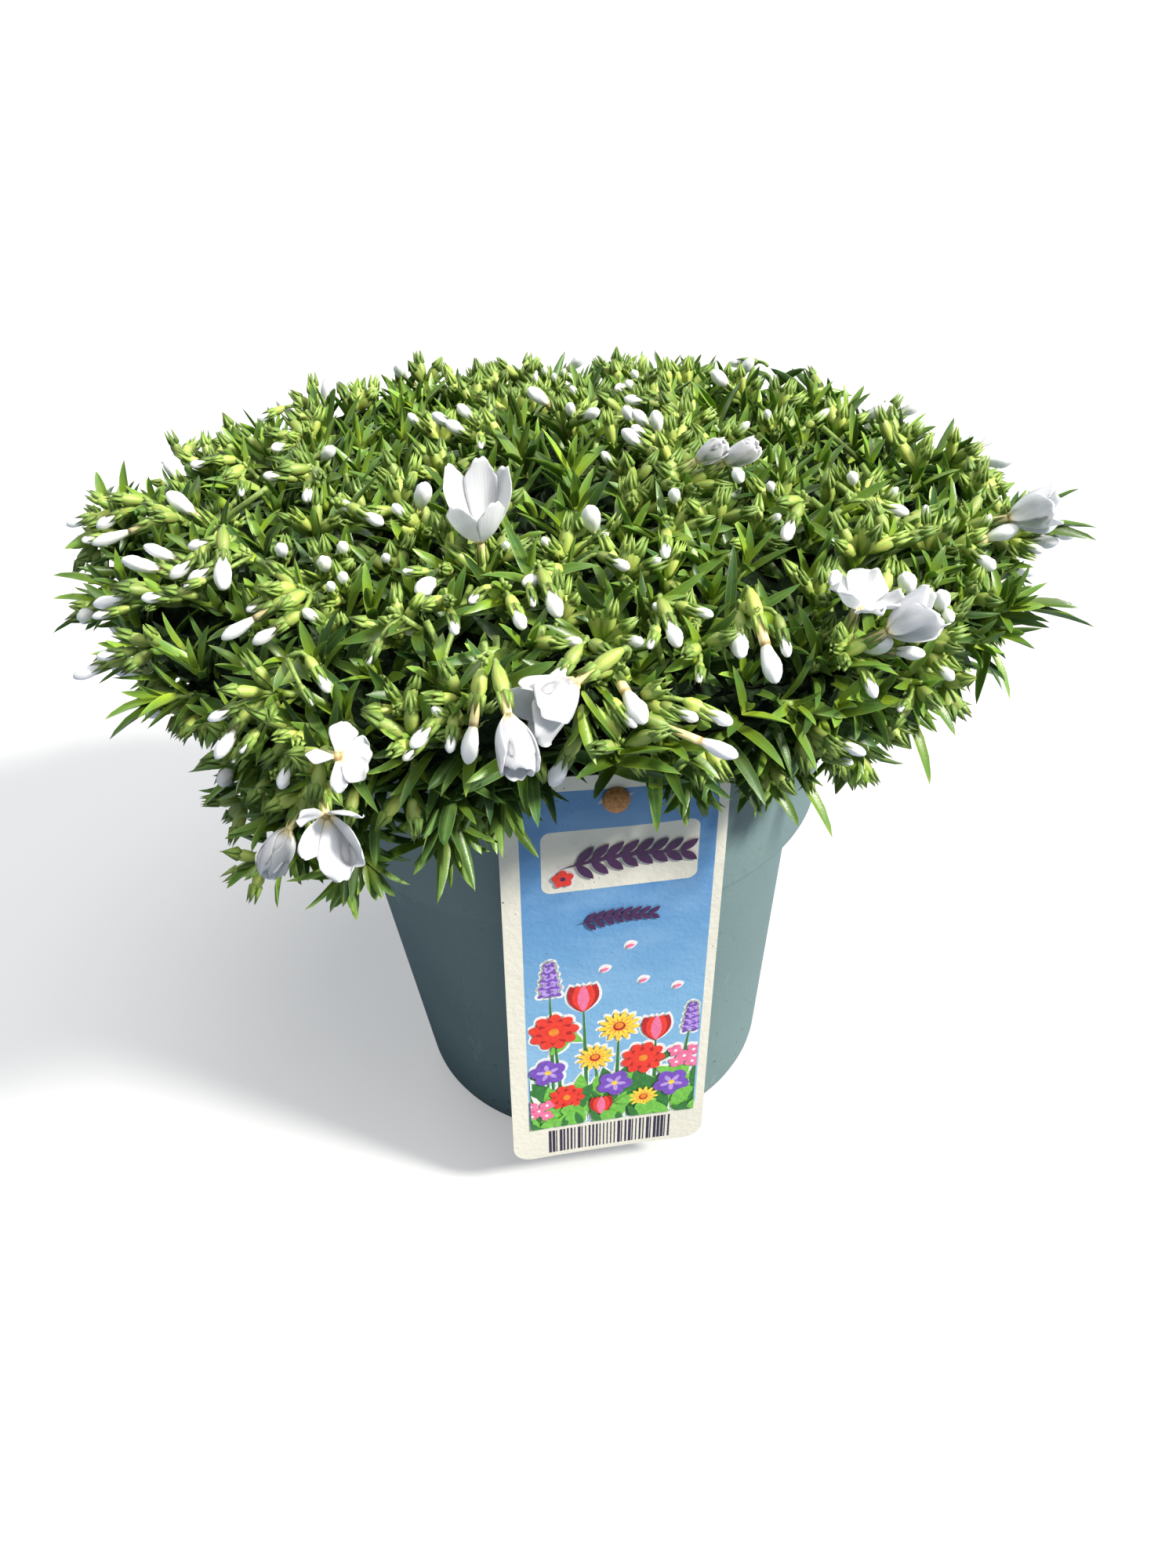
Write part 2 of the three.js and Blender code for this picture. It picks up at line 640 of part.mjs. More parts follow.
// The filled outside of a bloom, larger by the gap.
function bloomClearance(bloom) {
  const { root, axis } = bloomFrame(bloom);
  const [side, over] = squareTo(axis);
  const [[middleWide, middleHigh], [wide, high]] = PETAL_SHARES.map((share) => petalPoint(bloom, share));
  const grow = GAP + BLOOM_CLEARANCE.spare;
  const outside = 1 / Math.cos(Math.PI / BLOOM_CLEARANCE.sides);   // corner radius over flat radius
  const drop = grow * Math.sin(radians(bloom.open));
  const points = [
    [0, -GAP],
    [BLOOM.tubeRadius + grow, -GAP],
    [BLOOM.tubeRadius + grow, BLOOM.tubeLength - grow],
    [middleWide + grow, middleHigh - drop],
    [wide + grow, high - drop],
    [wide + grow, high + BLOOM.thickness + grow],
    [0, high + BLOOM.thickness + grow],
  ];
  return skin(BLOOM_CLEARANCE.sides, points.length - 1, (angle, run, row) => root.clone()
    .addScaledVector(axis, points[row][1])
    .addScaledVector(side, outside * points[row][0] * Math.cos(angle))
    .addScaledVector(over, outside * points[row][0] * Math.sin(angle)));
}

// ---------------------------------------------------------------- assembly

addPiece('pot', makePot(), COLOURS.pot, 0.5);
addPiece('soil', makeSoil(), COLOURS.soil, 0.95);
addPiece('label', makeLabel(), COLOURS.label, 0.45);
addPiece('peg', pegGeometry(PEG.stalkRadius, 0), COLOURS.peg, 0.55);
addPiece('foliage', makeFoliage(), COLOURS.foliage, 0.5);
for (const bloom of BLOOMS) addPiece(bloom.name, bloomGeometry(bloom), COLOURS.petal, 0.6);

export default group;
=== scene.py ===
"""A mat-forming phlox in its nursery pot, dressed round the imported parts. Lengths in the tables are in
millimetres, with the origin at the middle of the pot's base, +Z up and the label on the -Y side."""

import math

import bpy
import numpy as np
from bpy.props import FloatProperty, FloatVectorProperty, IntProperty, PointerProperty
from mathutils import Matrix, Vector
from mathutils.bvhtree import BVHTree


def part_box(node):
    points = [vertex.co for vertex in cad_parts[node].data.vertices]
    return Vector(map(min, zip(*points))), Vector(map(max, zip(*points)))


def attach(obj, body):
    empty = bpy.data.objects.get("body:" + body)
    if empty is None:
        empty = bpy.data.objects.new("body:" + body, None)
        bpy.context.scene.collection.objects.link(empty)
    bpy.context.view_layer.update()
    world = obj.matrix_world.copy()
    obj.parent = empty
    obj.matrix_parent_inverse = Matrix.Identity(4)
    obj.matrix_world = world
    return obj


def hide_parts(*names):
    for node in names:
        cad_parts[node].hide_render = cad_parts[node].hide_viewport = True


bl_info = {
    "name": "Potted Phlox",
    "version": (1, 0, 0),
    "blender": (4, 5, 0),
    "location": "3D View > Sidebar > Phlox",
    "description": "Dresses a mat-forming phlox and its pot: leafy shoots, buds, blooms, label and peg",
    "category": "Add Mesh",
}

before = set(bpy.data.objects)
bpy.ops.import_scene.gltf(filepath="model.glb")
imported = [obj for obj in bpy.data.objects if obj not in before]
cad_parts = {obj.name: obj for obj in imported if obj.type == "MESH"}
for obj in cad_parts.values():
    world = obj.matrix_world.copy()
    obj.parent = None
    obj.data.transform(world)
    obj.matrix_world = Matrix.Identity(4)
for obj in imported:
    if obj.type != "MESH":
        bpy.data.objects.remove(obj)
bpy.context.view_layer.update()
MM = 0.001
POT_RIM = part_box("pot")[1].x / MM
POT_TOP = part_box("pot")[1].z / MM
BODY = "root"

# ---------------- camera

IMAGE = (1500, 2000)  # the frame that every pixel place below is given in
FOCAL_PIXELS = 1600
SENSOR = 36.0
CAMERA = {"distance": 332, "height": 331, "pitch": 34.6, "roll": -4.1, "yaw": 0.7}

# ---------------- pot, label and peg

POT_SECTION = {
    "foot_radius": 54.5,
    "base_radius": 58,
    "foot_height": 4,
    "wall_top_radius": 69.1,
    "band_bottom": 107.5,
    "band_radius": 75.8,
    "wall": 1.6,
    "floor": 2.6,
}
DRAINS = {"count": 6, "radius": 4, "circle": 40}
SOIL_TOP = 140
LABEL = {
    "azimuth": 7, "turn": 3.15, "lean": 2.8, "gap": 1.2, "top": 159, "hole_below_top": 7.4,
    "hole_radius": 2.6,
}
LABEL_SPACE = {"half_width": 31, "down": -138, "behind": -4, "before": 1.6, "peg": 5}  # kept free of leaves
PANEL = {"left": 5.1, "right": 2.7, "bottom": 14.0, "top": 4.4, "radius": 4.0}
TITLE_PANEL = {"left": 10.6, "width": 41.4, "top": 16.8, "height": 20.0, "radius": 2.6}
BARS = {"left": 11, "width": 38.5, "bottom": 1.9, "height": 10.4, "count": 34}

# ---------------- the mound

# Surface that the outermost tips reach, every 30 degrees of azimuth from -180 (which is -X) through
# -90 (the front) to 150.
MOUND = {
    "top": 219,
    "radius": [136, 124, 120, 114, 118, 129, 134, 127, 131, 132, 135, 141],
    "edge": [192, 184, 180, 188, 184, 183, 190, 197, 198, 197, 199, 194],
    "shoulder": [205, 201, 200, 201, 200, 202, 204, 206, 206, 205, 208, 205],
    "skirt": [164, 162, 158, 176, 164, 160, 162, 160, 160, 160, 160, 160],
}
CROWN = np.array([0.0, 0.0, 128.0])
OUTLINE = {"from": 182, "beyond": 3.6}  # how far tips above a height may stand out of the mound

# White buds as they show from the camera: pixel of the foot, pixel of the tip, width in pixels, and
# millimetres of bare tube between calyx and bud.
BUDS = [
    (373, 520, 353, 506, 14, 0), (345, 521, 326, 530, 10, 0), (222, 603, 208, 582, 14, 0),
    (262, 583, 241, 587, 11, 0), (362, 561, 345, 566, 12, 0), (358, 602, 334, 600, 12, 0),
    (245, 648, 212, 624, 21, 1), (393, 614, 388, 634, 14, 0), (146, 652, 118, 668, 15, 0),
    (106, 657, 78, 666, 12, 0), (306, 612, 305, 627, 9, 0), (508, 475, 507, 460, 13, 0),
    (408, 580, 423, 564, 16, 0), (534, 536, 520, 522, 11, 0), (576, 536, 549, 521, 14, 0),
    (592, 545, 568, 532, 15, 0), (600, 527, 584, 511, 14, 0), (698, 508, 674, 490, 17, 3),
    (727, 523, 727, 509, 13, 0), (744, 526, 763, 517, 15, 0), (735, 497, 728, 487, 9, 0),
    (684, 484, 682, 472, 8, 0), (695, 474, 694, 463, 8, 0), (707, 481, 706, 471, 8, 0),
    (718, 475, 719, 465, 7, 0), (611, 553, 612, 566, 9, 0), (446, 646, 435, 634, 14, 0),
    (460, 648, 488, 662, 16, 0), (513, 651, 500, 638, 13, 0), (532, 641, 541, 611, 22, 1),
    (757, 671, 752, 641, 24, 0), (640, 695, 646, 686, 11, 0), (700, 690, 692, 680, 11, 0),
    (800, 485, 784, 490, 11, 0), (811, 477, 808, 468, 11, 0), (812, 492, 799, 480, 11, 0),
    (823, 506, 796, 502, 13, 0), (806, 530, 798, 513, 15, 0), (828, 537, 808, 517, 15, 0),
    (840, 545, 836, 519, 17, 0), (825, 548, 806, 537, 12, 0), (823, 563, 793, 541, 17, 0),
    (782, 585, 768, 570, 11, 0), (928, 486, 910, 468, 17, 0), (945, 471, 960, 453, 14, 0),
    (981, 530, 979, 517, 10, 0), (942, 545, 956, 532, 10, 0), (861, 634, 860, 619, 16, 0),
    (1090, 611, 1088, 597, 15, 0), (986, 621, 983, 609, 12, 0), (985, 660, 995, 650, 11, 0),
    (1013, 655, 1001, 684, 18, 0), (1041, 529, 1059, 515, 9, 0), (1106, 526, 1138, 511, 18, 0),
    (1256, 584, 1297, 580, 20, 0), (1253, 565, 1277, 547, 12, 2), (1130, 639, 1162, 648, 15, 0),
    (1135, 628, 1146, 616, 10, 0), (1184, 656, 1183, 637, 9, 0), (1262, 665, 1267, 651, 9, 0),
    (163, 672, 112, 689, 15, 4), (117, 682, 100, 685, 10, 0), (225, 708, 179, 690, 16, 1),
    (204, 722, 150, 708, 19, 1), (243, 708, 213, 732, 16, 0), (268, 685, 236, 692, 15, 0),
    (268, 718, 236, 736, 16, 0), (246, 738, 230, 743, 8, 0), (281, 701, 281, 748, 23, 0),
    (358, 702, 355, 690, 17, 0), (413, 720, 410, 707, 19, 0), (436, 698, 434, 687, 15, 0),
    (436, 737, 434, 725, 14, 0), (421, 747, 418, 738, 13, 0), (492, 710, 489, 702, 12, 0),
    (157, 760, 112, 768, 17, 0), (141, 777, 110, 785, 11, 0), (205, 757, 176, 758, 14, 0),
    (323, 782, 278, 810, 17, 4), (331, 763, 311, 773, 11, 0), (352, 794, 318, 816, 16, 1),
    (402, 785, 385, 773, 15, 0), (147, 832, 115, 838, 13, 0), (127, 851, 86, 868, 17, 0),
    (553, 732, 531, 749, 23, 0), (530, 722, 512, 722, 10, 0), (690, 729, 666, 738, 17, 0),
    (699, 745, 713, 782, 22, 0), (656, 771, 667, 796, 18, 0), (575, 784, 580, 803, 14, 0),
    (612, 750, 597, 762, 12, 0), (717, 812, 742, 812, 14, 0), (476, 823, 466, 843, 10, 0),
    (676, 751, 680, 768, 10, 0), (780, 708, 803, 718, 15, 0), (828, 713, 843, 706, 10, 0),
    (850, 683, 849, 706, 14, 0), (848, 775, 834, 764, 12, 0), (884, 771, 911, 779, 14, 0),
    (853, 784, 867, 820, 21, 0), (800, 812, 820, 812, 15, 0), (835, 805, 828, 822, 11, 0),
    (946, 799, 946, 834, 22, 0), (978, 815, 993, 868, 26, 5), (1000, 803, 1008, 834, 15, 0),
    (938, 588, 946, 608, 17, 0), (762, 680, 776, 674, 9, 0), (1253, 705, 1274, 720, 17, 0),
    (1163, 750, 1158, 728, 24, 0), (1206, 775, 1206, 752, 23, 0), (1210, 772, 1219, 789, 16, 0),
    (1264, 682, 1303, 668, 20, 2), (1322, 690, 1356, 690, 17, 0), (1315, 693, 1337, 700, 12, 0),
    (1345, 672, 1377, 682, 16, 0), (1100, 822, 1140, 816, 26, 3), (1144, 828, 1186, 832, 18, 2),
    (293, 903, 258, 918, 14, 0), (296, 928, 268, 969, 18, 1), (313, 945, 300, 961, 10, 0),
    (299, 962, 290, 974, 8, 0), (362, 978, 352, 1008, 17, 0), (385, 882, 395, 898, 8, 0),
    (400, 853, 417, 880, 15, 0), (548, 925, 521, 952, 19, 0), (530, 951, 511, 970, 13, 0),
    (574, 932, 571, 960, 14, 0), (602, 922, 594, 975, 23, 5), (562, 909, 549, 900, 11, 0),
    (722, 845, 695, 881, 24, 0), (798, 878, 824, 920, 27, 5), (795, 905, 813, 926, 14, 0),
    (865, 905, 893, 916, 15, 0), (902, 905, 938, 922, 18, 0), (894, 949, 945, 970, 21, 7),
    (894, 851, 893, 866, 10, 0), (1072, 954, 1108, 970, 15, 0), (1071, 975, 1090, 982, 10, 0),
    (1110, 861, 1122, 889, 16, 0), (1205, 849, 1222, 866, 15, 0), (1160, 902, 1152, 911, 9, 0),
]
BUD_KEYS = ("foot", "heading", "normal", "long", "radius", "tube")
HIDDEN_BUDS = {"tries": 1500, "lowest_run": 4.6, "facing": -0.25, "spacing": 17, "length": (6.5, 11)}

# Dark gaps where no shoot stands: pixel, and radius in millimetres.
HOLLOWS = [(688, 588, 8), (672, 536, 6), (604, 742, 4), (1065, 650, 5), (520, 790, 4), (975, 745, 5)]

# Sprays that reach past the mound: azimuth, then radius and height of the end.
SPRAYS = [
    (-137, 105, 158), (-127, 114, 150), (-119, 112, 147), (-108, 101, 155), (-101, 91, 158), (-72, 90, 160),
    (-59, 95, 158), (-46, 100, 158), (-33, 105, 162), (-26, 122, 184), (-12, 122, 191), (172, 130, 198),
]
SIDE_SHOOTS = ((1.0, 0), (0.86, 1), (0.72, -1), (0.55, 1), (0.42, -1))  # share of the spray, side

# Long leaves that stand out of the outline: pixel of the foot, pixel of the tip.
STRAYS = [
    (112, 757, 66, 733), (110, 772, 66, 763), (105, 793, 66, 808), (170, 915, 132, 918),
    (165, 935, 138, 944), (300, 975, 238, 985), (270, 985, 257, 1030), (360, 1050, 285, 1070),
    (325, 1105, 288, 1134), (450, 1130, 420, 1165), (470, 1110, 480, 1150), (395, 1105, 382, 1118),
    (520, 1070, 480, 1035), (540, 1080, 470, 1110), (545, 1060, 560, 1100), (580, 1045, 615, 1090),
    (640, 1020, 658, 1065), (775, 985, 757, 1020), (860, 960, 920, 995), (950, 980, 940, 1040),
    (925, 980, 915, 1015), (850, 985, 838, 1065), (858, 985, 868, 1030), (975, 1000, 1020, 1055),
    (1045, 1000, 1063, 1070), (1085, 990, 1088, 1005), (1150, 945, 1187, 1003), (1185, 900, 1220, 940),
    (1265, 820, 1245, 900), (1370, 690, 1418, 690), (140, 655, 122, 600), (165, 640, 158, 585),
    (1380, 680, 1405, 672), (1370, 655, 1378, 622), (1355, 800, 1398, 800), (1340, 775, 1377, 775),
]
STRAY_LONGEST = 25.0
STRAY_BOW = 0.27
STRAY_LEAF = {"lean": 1e-3, "curl": 0.55, "sweep": 0.0, "age": 0.3}

# Blooms. foot is the pixel of the throat and lift its height over the mound; aim is the flower's axis as
# parts right, up and towards the camera; open is the petals' angle from the axis at the foot and at the
# rim; start turns the petals; petal is their length and width their share of it; and petals lists for each
# its share of the length, extra angle, share of the width and extra turn.
EVEN = [(1.0, 0, 1.0, 0), (0.96, 4, 1.05, 4), (1.02, -3, 0.95, 0), (0.97, 5, 1.0, -4), (1.0, -4, 1.05, 0)]
BLOOM_KEYS = ("foot", "lift", "aim", "open", "start", "petal", "width", "wave", "petals")
BLOOMS = {
    "bloom_upright": (
        (613, 692), 2, (-0.06, 0.82, 0.57), (66, 10), 4, 20, 0.42, 0.3, [
            (1, -2, 1, -5), (0.98, 0, 1, -20), (0.74, 8, 1.3, 4), (0.76, 8, 1.3, -2), (0.94, 4, 1, 20),
        ],
    ),
    "bloom_back_left": ((889, 588), 9, (0.8, 0.4, 0.45), (52, -12), 20, 9.2, 0.72, 0.1, EVEN),
    "bloom_back_right": ((924, 590), 9, (0.82, 0.38, 0.42), (56, -10), 50, 10.2, 0.72, 0.2, EVEN),
    "bloom_right_edge": ((1286, 660), 3, (0.85, 0.15, 0.4), (65, 4), 30, 13.6, 0.74, 0.7, EVEN),
    "bloom_right_upper": (
        (1092, 778), 4, (0.22, 0.82, 0.5), (74, 40), -40, 11.0, 0.86, 2.0, [
            (1, 0, 1.1, 0), (0.9, 6, 1.1, 0), (0.85, 4, 1, 0), (0.8, 14, 1, 0), (0.95, 8, 1, 0),
        ],
    ),
    "bloom_right_lower": ((1131, 806), 4, (0.85, 0.42, 0.32), (72, 2), 38, 14.0, 0.74, 0.5, EVEN),
    "bloom_front_right": (
        (736, 870), 3, (-0.8, -0.58, 0.1), (62, 12), 40, 16, 0.72, 0.8, [
            (1.05, -5, 1.1, 0), (1, -2, 1, 18), (1, -2, 1.3, 31), (0.86, 12, 1.15, 9), (0.82, 8, 1.1, -8),
        ],
    ),
    "bloom_front_left": ((648, 912), 9, (0.22, -0.86, 0.34), (58, -6), 36, 14.2, 0.66, 0.3, EVEN),
    "bloom_corner_open": (
        (430, 965), 7, (0.45, -0.1, 0.85), (80, 78), -15, 7, 0.95, 0.7, [
            (1, 10, 1, 0), (0.95, -2, 0.5, 32), (1.05, -7, 0.5, 50), (1.02, -25, 1, 32), (1, 14, 1.1, 4),
        ],
    ),
    "bloom_corner_half": (
        (416, 1040), 9, (0.3, -0.75, 0.6), (65, 30), 60, 13.4, 0.58, 0.8, [
            (0.62, 27, 1, 5), (0.8, 0, 1, 0), (1.12, -14, 1, -5), (1.03, -14, 1.35, -18),
            (0.83, 12, 1.1, -17),
        ],
    ),
    "bloom_corner_shut": ((368, 1058), 9, (-0.42, -0.88, 0.12), (70, -22), 0, 13, 0.75, 0.12, EVEN),
}
TUBE = {"length": 8, "radius": 1.4}
PETALS = 5


# ---------------- settings

def length(name, description, millimetres):
    """A length that the sidebar shows, given here in millimetres."""
    return FloatProperty(name=name, description=description, default=millimetres * MM, min=0, precision=4,
                         subtype="DISTANCE", unit="LENGTH")


def bearing(name, description, degrees):
    """An angle that the sidebar shows, given here in degrees."""
    return FloatProperty(name=name, description=description, default=math.radians(degrees), subtype="ANGLE",
                         unit="ROTATION")


def amount(name, description, value, low=0.0, subtype="NONE"):
    return FloatProperty(name=name, description=description, default=value, min=low, subtype=subtype)


def colour(name, description, value):
    return FloatVectorProperty(name=name, description=description, default=value, min=0, max=1, size=3,
                               subtype="COLOR")


class PotSettings(bpy.types.PropertyGroup):
    """Nursery pot and the soil in it."""
    rim_radius: length("Rim radius", "Outer radius at the rim", POT_RIM)
    height: length("Height", "Height of the pot", POT_TOP)
    plastic: colour("Plastic", "Colour of the moulded plastic", (0.152, 0.225, 0.222))
    soil: colour("Soil", "Colour of the potting soil", (0.045, 0.03, 0.02))
    crumb: length("Crumb", "Size of the soil's crumbs", 3.5)


class LabelSettings(bpy.types.PropertyGroup):
    """Plant label and its peg."""
    width: length("Width", "Width of the card", 59.3)
    height: length("Height", "Height of the card", 145.6)
    thickness: length("Thickness", "Thickness of the card", 0.6)
    corner: length("Corner radius", "Radius of the card's corners", 6)
    wave: length("Wave", "How far the card bends out of its plane", 0.7)
    border: colour("Border", "Colour of the bare card", (0.82, 0.78, 0.66))
    sky: colour("Sky", "Colour of the printed panel", (0.105, 0.28, 0.55))
    peg_radius: length("Peg radius", "Radius of the peg's head", 3.5)
    peg: colour("Peg", "Colour of the peg", (0.62, 0.26, 0.07))


class ShootSettings(bpy.types.PropertyGroup):
    """Leafy shoots and their calyces."""
    spacing: length("Spacing", "Least distance between shoot tips", 10.2)
    leaf_length: length("Leaf length", "Length of a full-grown leaf", 17.0)
    leaf_width: length("Leaf width", "Width of a full-grown leaf", 3.2)
    calyx_length: length("Calyx length", "Length of a calyx", 9.4)
    calyx_radius: length("Calyx radius", "Radius of a calyx", 1.75)
    seed: IntProperty(name="Seed", description="Start of the random draws", default=41, min=0)
    old_leaf: colour("Old leaf", "Colour of a leaf low on its shoot", (0.046, 0.112, 0.032))
    young_leaf: colour("Young leaf", "Colour of a leaf near the tip", (0.28, 0.415, 0.045))
    calyx: colour("Calyx", "Colour of the calyx between its ribs", (0.52, 0.57, 0.125))


class BloomSettings(bpy.types.PropertyGroup):
    """White buds and blooms."""
    bud_swell: amount("Bud swell", "Bud length over its width", 2.15, 1, "FACTOR")
    petal_thickness: length("Petal thickness", "Thickness of a petal", 0.35)
    white: colour("White", "Colour of the petals", (0.91, 0.91, 0.94))
    # Painted shade: the buds' folds take this bluish tint; on open petals it tints the veins.
    fold_shade_and_vein_tint: colour("Shade", "Tint in the folds of the petals", (0.74, 0.77, 0.90))
    throat: colour("Throat", "Colour at the foot of the petals", (0.78, 0.62, 0.24))


class StageSettings(bpy.types.PropertyGroup):
    """Floor and light."""
    floor: colour("Floor", "Colour of the floor", (0.44, 0.44, 0.44))
    bounce: colour("Bounce", "Tint of the light that the floor throws back", (0.22, 0.25, 0.29))
    glow: amount("Glow", "How much the floor shines of itself", 0.36)
    key: amount("Key light", "Strength of the light on the right", 6.1)
    softness: bearing("Softness", "Width of the key light as seen from the plant", 9)
    azimuth: bearing("Azimuth", "Bearing of the key light, from +X", -25)
    elevation: bearing("Elevation", "Height of the key light over the horizon", 38)
    overhead: amount("Overhead light", "Strength of the wide light above the plant", 2.3)
    back: amount("Back light", "Strength of the wide light behind the plant", 1.1)
    sky: amount("Sky", "Brightness of the surrounding light", 0.20, subtype="FACTOR")


def in_mm(settings, *names):
    return [getattr(settings, name) / MM for name in names]


# ---------------- vectors

def unit(vectors):
    return vectors / np.linalg.norm(vectors, axis=-1, keepdims=True)


def polar(azimuth, radius, height):
    """A point or points at an azimuth in degrees, a radius and a height."""
    angle = np.radians(azimuth)
    places = np.broadcast_arrays(radius * np.cos(angle), radius * np.sin(angle), height)
    return np.stack(places, -1).astype(float)


def direction(azimuth, elevation):
    """A unit vector from an azimuth and degrees above level."""
    return polar(azimuth, math.cos(math.radians(elevation)), math.sin(math.radians(elevation)))


def square_to(axis):
    """Two unit vectors square to each axis, so that side x top = axis."""
    helper = np.where(np.abs(axis[..., 2:3]) < 0.9, [0.0, 0.0, 1.0], [1.0, 0.0, 0.0])
    side = unit(np.cross(helper, axis))
    return side, np.cross(axis, side)


def catmull(before, start, end, after, share):
    """Uniform Catmull-Rom curve from start to end."""
    return 0.5 * (
        2 * start
        + (end - before) * share
        + (2 * before - 5 * start + 4 * end - after) * share**2
        + (3 * start - before - 3 * end + after) * share**3
    )


def bezier(start, knee, end, share):
    """Quadratic curve from start past knee to end."""
    return (1 - share) ** 2 * start + 2 * share * (1 - share) * knee + share**2 * end


def spun(angle, sides, tops):
    """Unit vectors at angles round each body's axis."""
    return np.cos(angle)[..., None] * sides[:, None] + np.sin(angle)[..., None] * tops[:, None]


def smooth(value, low, high):
    share = np.clip((value - low) / (high - low), 0, 1)
    return share * share * (3 - 2 * share)


# ---------------- meshes

def skin_faces(rings, corners):
    """Faces of a closed skin whose points are a first point, rings of corners and a last point."""
    here = np.arange(corners)
    onward = (here + 1) % corners
    start = 1 + np.arange(rings - 1)[:, None] * corners
    quads = np.stack([start + here, start + onward, start + corners + onward, start + corners + here], -1)
    last = 1 + (rings - 1) * corners
    foot = np.stack([np.zeros(corners, int), 1 + onward, 1 + here], -1)
    tip = np.stack([last + here, last + onward, np.full(corners, last + corners)], -1)
    return [np.vstack([foot, tip]), quads.reshape(-1, 4)]


def closed(foot, rings, tip):
    """Points of closed skins, in the order that skin_faces takes them."""
    return np.concatenate([foot[:, None], rings.reshape(len(foot), -1, 3), tip[:, None]], 1)


def skin_points(foot, centres, sides, tops, outline, tip):
    """Closed skins: rings round centres (n, rings, 3) by outlines (..., rings, corners, 2). The sides and
    tops are one for each body, or one for each ring."""
    if sides.ndim == 2:
        sides, tops = sides[:, None], tops[:, None]
    rings = centres[:, :, None] + sides[:, :, None] * outline[..., 0:1] + tops[:, :, None] * outline[..., 1:2]
    return closed(foot, rings, tip)


def per_corner(first, rings, last):
    """Values for the points of one skin, from a value for each corner of each ring."""
    return np.concatenate([[first], np.asarray(rings, float).ravel(), [last]])


def along_skin(run, corners):
    """Each point's share of its body's length."""
    return per_corner(0, np.repeat(run, corners), 1)


def round_outline(radii, corners, ribs=None):
    """Round rings with a radius each; ribs is a factor for each corner."""
    angle = np.arange(corners) * 2 * np.pi / corners
    circle = np.stack([np.cos(angle), np.sin(angle)], -1)
    if ribs is not None:
        circle = circle * np.asarray(ribs)[:, None]
    return np.asarray(radii, float)[..., None, None] * circle


class Growth:
    """Closed bodies gathered in millimetres, with values at their points, to make one mesh."""

    def __init__(self):
        self.parts = []

    def add(self, points, faces, **values):
        """points is (bodies, points each, 3), faces are the blocks of one body's faces or how many corners
        its rings have, and each value fits (bodies, points each)."""
        if isinstance(faces, int):
            faces = skin_faces((points.shape[1] - 2) // faces, faces)
        if len(points):
            spread = {name: np.broadcast_to(value, points.shape[:2]) for name, value in values.items()}
            self.parts.append((points, faces, spread))

    def face_count(self):
        return sum(len(points) * (len(faces[0]) + len(faces[1])) for points, faces, _ in self.parts)

    def mesh(self, name):
        corners, sizes, count = [], [], 0
        for points, faces, _ in self.parts:
            bodies, each = points.shape[:2]
            shift = count + np.arange(bodies)[:, None, None] * each
            for block in faces:
                corners.append((block + shift).ravel())
                sizes.append(np.full(bodies * len(block), block.shape[1]))
            count += bodies * each
        corners, sizes = np.concatenate(corners), np.concatenate(sizes)
        mesh = bpy.data.meshes.new(name)
        mesh.vertices.add(count)
        places = np.concatenate([points.reshape(-1, 3) for points, _, _ in self.parts])
        mesh.vertices.foreach_set("co", (places * MM).ravel())
        mesh.loops.add(len(corners))
        mesh.loops.foreach_set("vertex_index", corners)
        mesh.polygons.add(len(sizes))
        mesh.polygons.foreach_set("loop_start", np.cumsum(sizes) - sizes)
        mesh.update(calc_edges=True)
        mesh.shade_smooth()
        for key in sorted({key for _, _, values in self.parts for key in values}):
            blank = [np.zeros(points.shape[:2]) for points, _, _ in self.parts]
            found = [values.get(key, zero).ravel() for zero, (_, _, values) in zip(blank, self.parts)]
            found = np.concatenate(found)
            if key == "crease":
                self.sharpen(mesh, found.astype(int))
            else:
                mesh.attributes.new(key, "FLOAT", "POINT").data.foreach_set("value", found.astype(np.float32))
        mesh.validate()
        return mesh

    @staticmethod
    def sharpen(mesh, marks):
        """Marks an edge sharp where both its ends have a crease bit in common."""
        ends = np.zeros(len(mesh.edges) * 2, int)
        mesh.edges.foreach_get("vertices", ends)
        both = marks[ends[0::2]] & marks[ends[1::2]]
        mesh.attributes.new("sharp_edge", "BOOLEAN", "EDGE").data.foreach_set("value", both > 0)


def link_object(name, data):
    made = bpy.data.objects.new(name, data)
    bpy.context.scene.collection.objects.link(made)
    return made


def place_piece(name, growths, materials, slot, *nodes):
    """One piece of the plant from one or more growths, each with its own material."""
    whole = Growth()
    for growth in growths:
        whole.parts += growth.parts
    mesh = whole.mesh(name)
    if len(growths) > 1:
        numbers = np.repeat(np.arange(len(growths)), [growth.face_count() for growth in growths])
        mesh.polygons.foreach_set("material_index", numbers.astype(np.int32))
    for material in materials:
        mesh.materials.append(material)
    piece = link_object(name, mesh)
    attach(piece, BODY)
    if nodes:
        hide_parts(*nodes)
    return piece


# ---------------- material helpers

def add_node(tree, kind, inputs=None, **settings):
    """Adds a shader node; an input that is a socket is linked, and any other value is set."""
    made = tree.nodes.new("ShaderNode" + kind)
    for key, value in settings.items():
        setattr(made, key, value)
    for key, value in (inputs or {}).items():
        if isinstance(value, bpy.types.NodeSocket):
            tree.links.new(value, made.inputs[key])
        else:
            made.inputs[key].default_value = value
    return made


def for_camera(tree, hidden, shown, output):
    """Shows one shader to the camera and another to every other ray."""
    ray = add_node(tree, "LightPath").outputs["Is Camera Ray"]
    either = add_node(tree, "MixShader", {0: ray, 1: hidden.outputs[0], 2: shown.outputs[0]})
    tree.links.new(either.outputs[0], tree.nodes[output].inputs["Surface"])


def rgba(colour_value, factor=1.0):
    return (*[min(1.0, channel * factor) for channel in colour_value[:3]], 1.0)


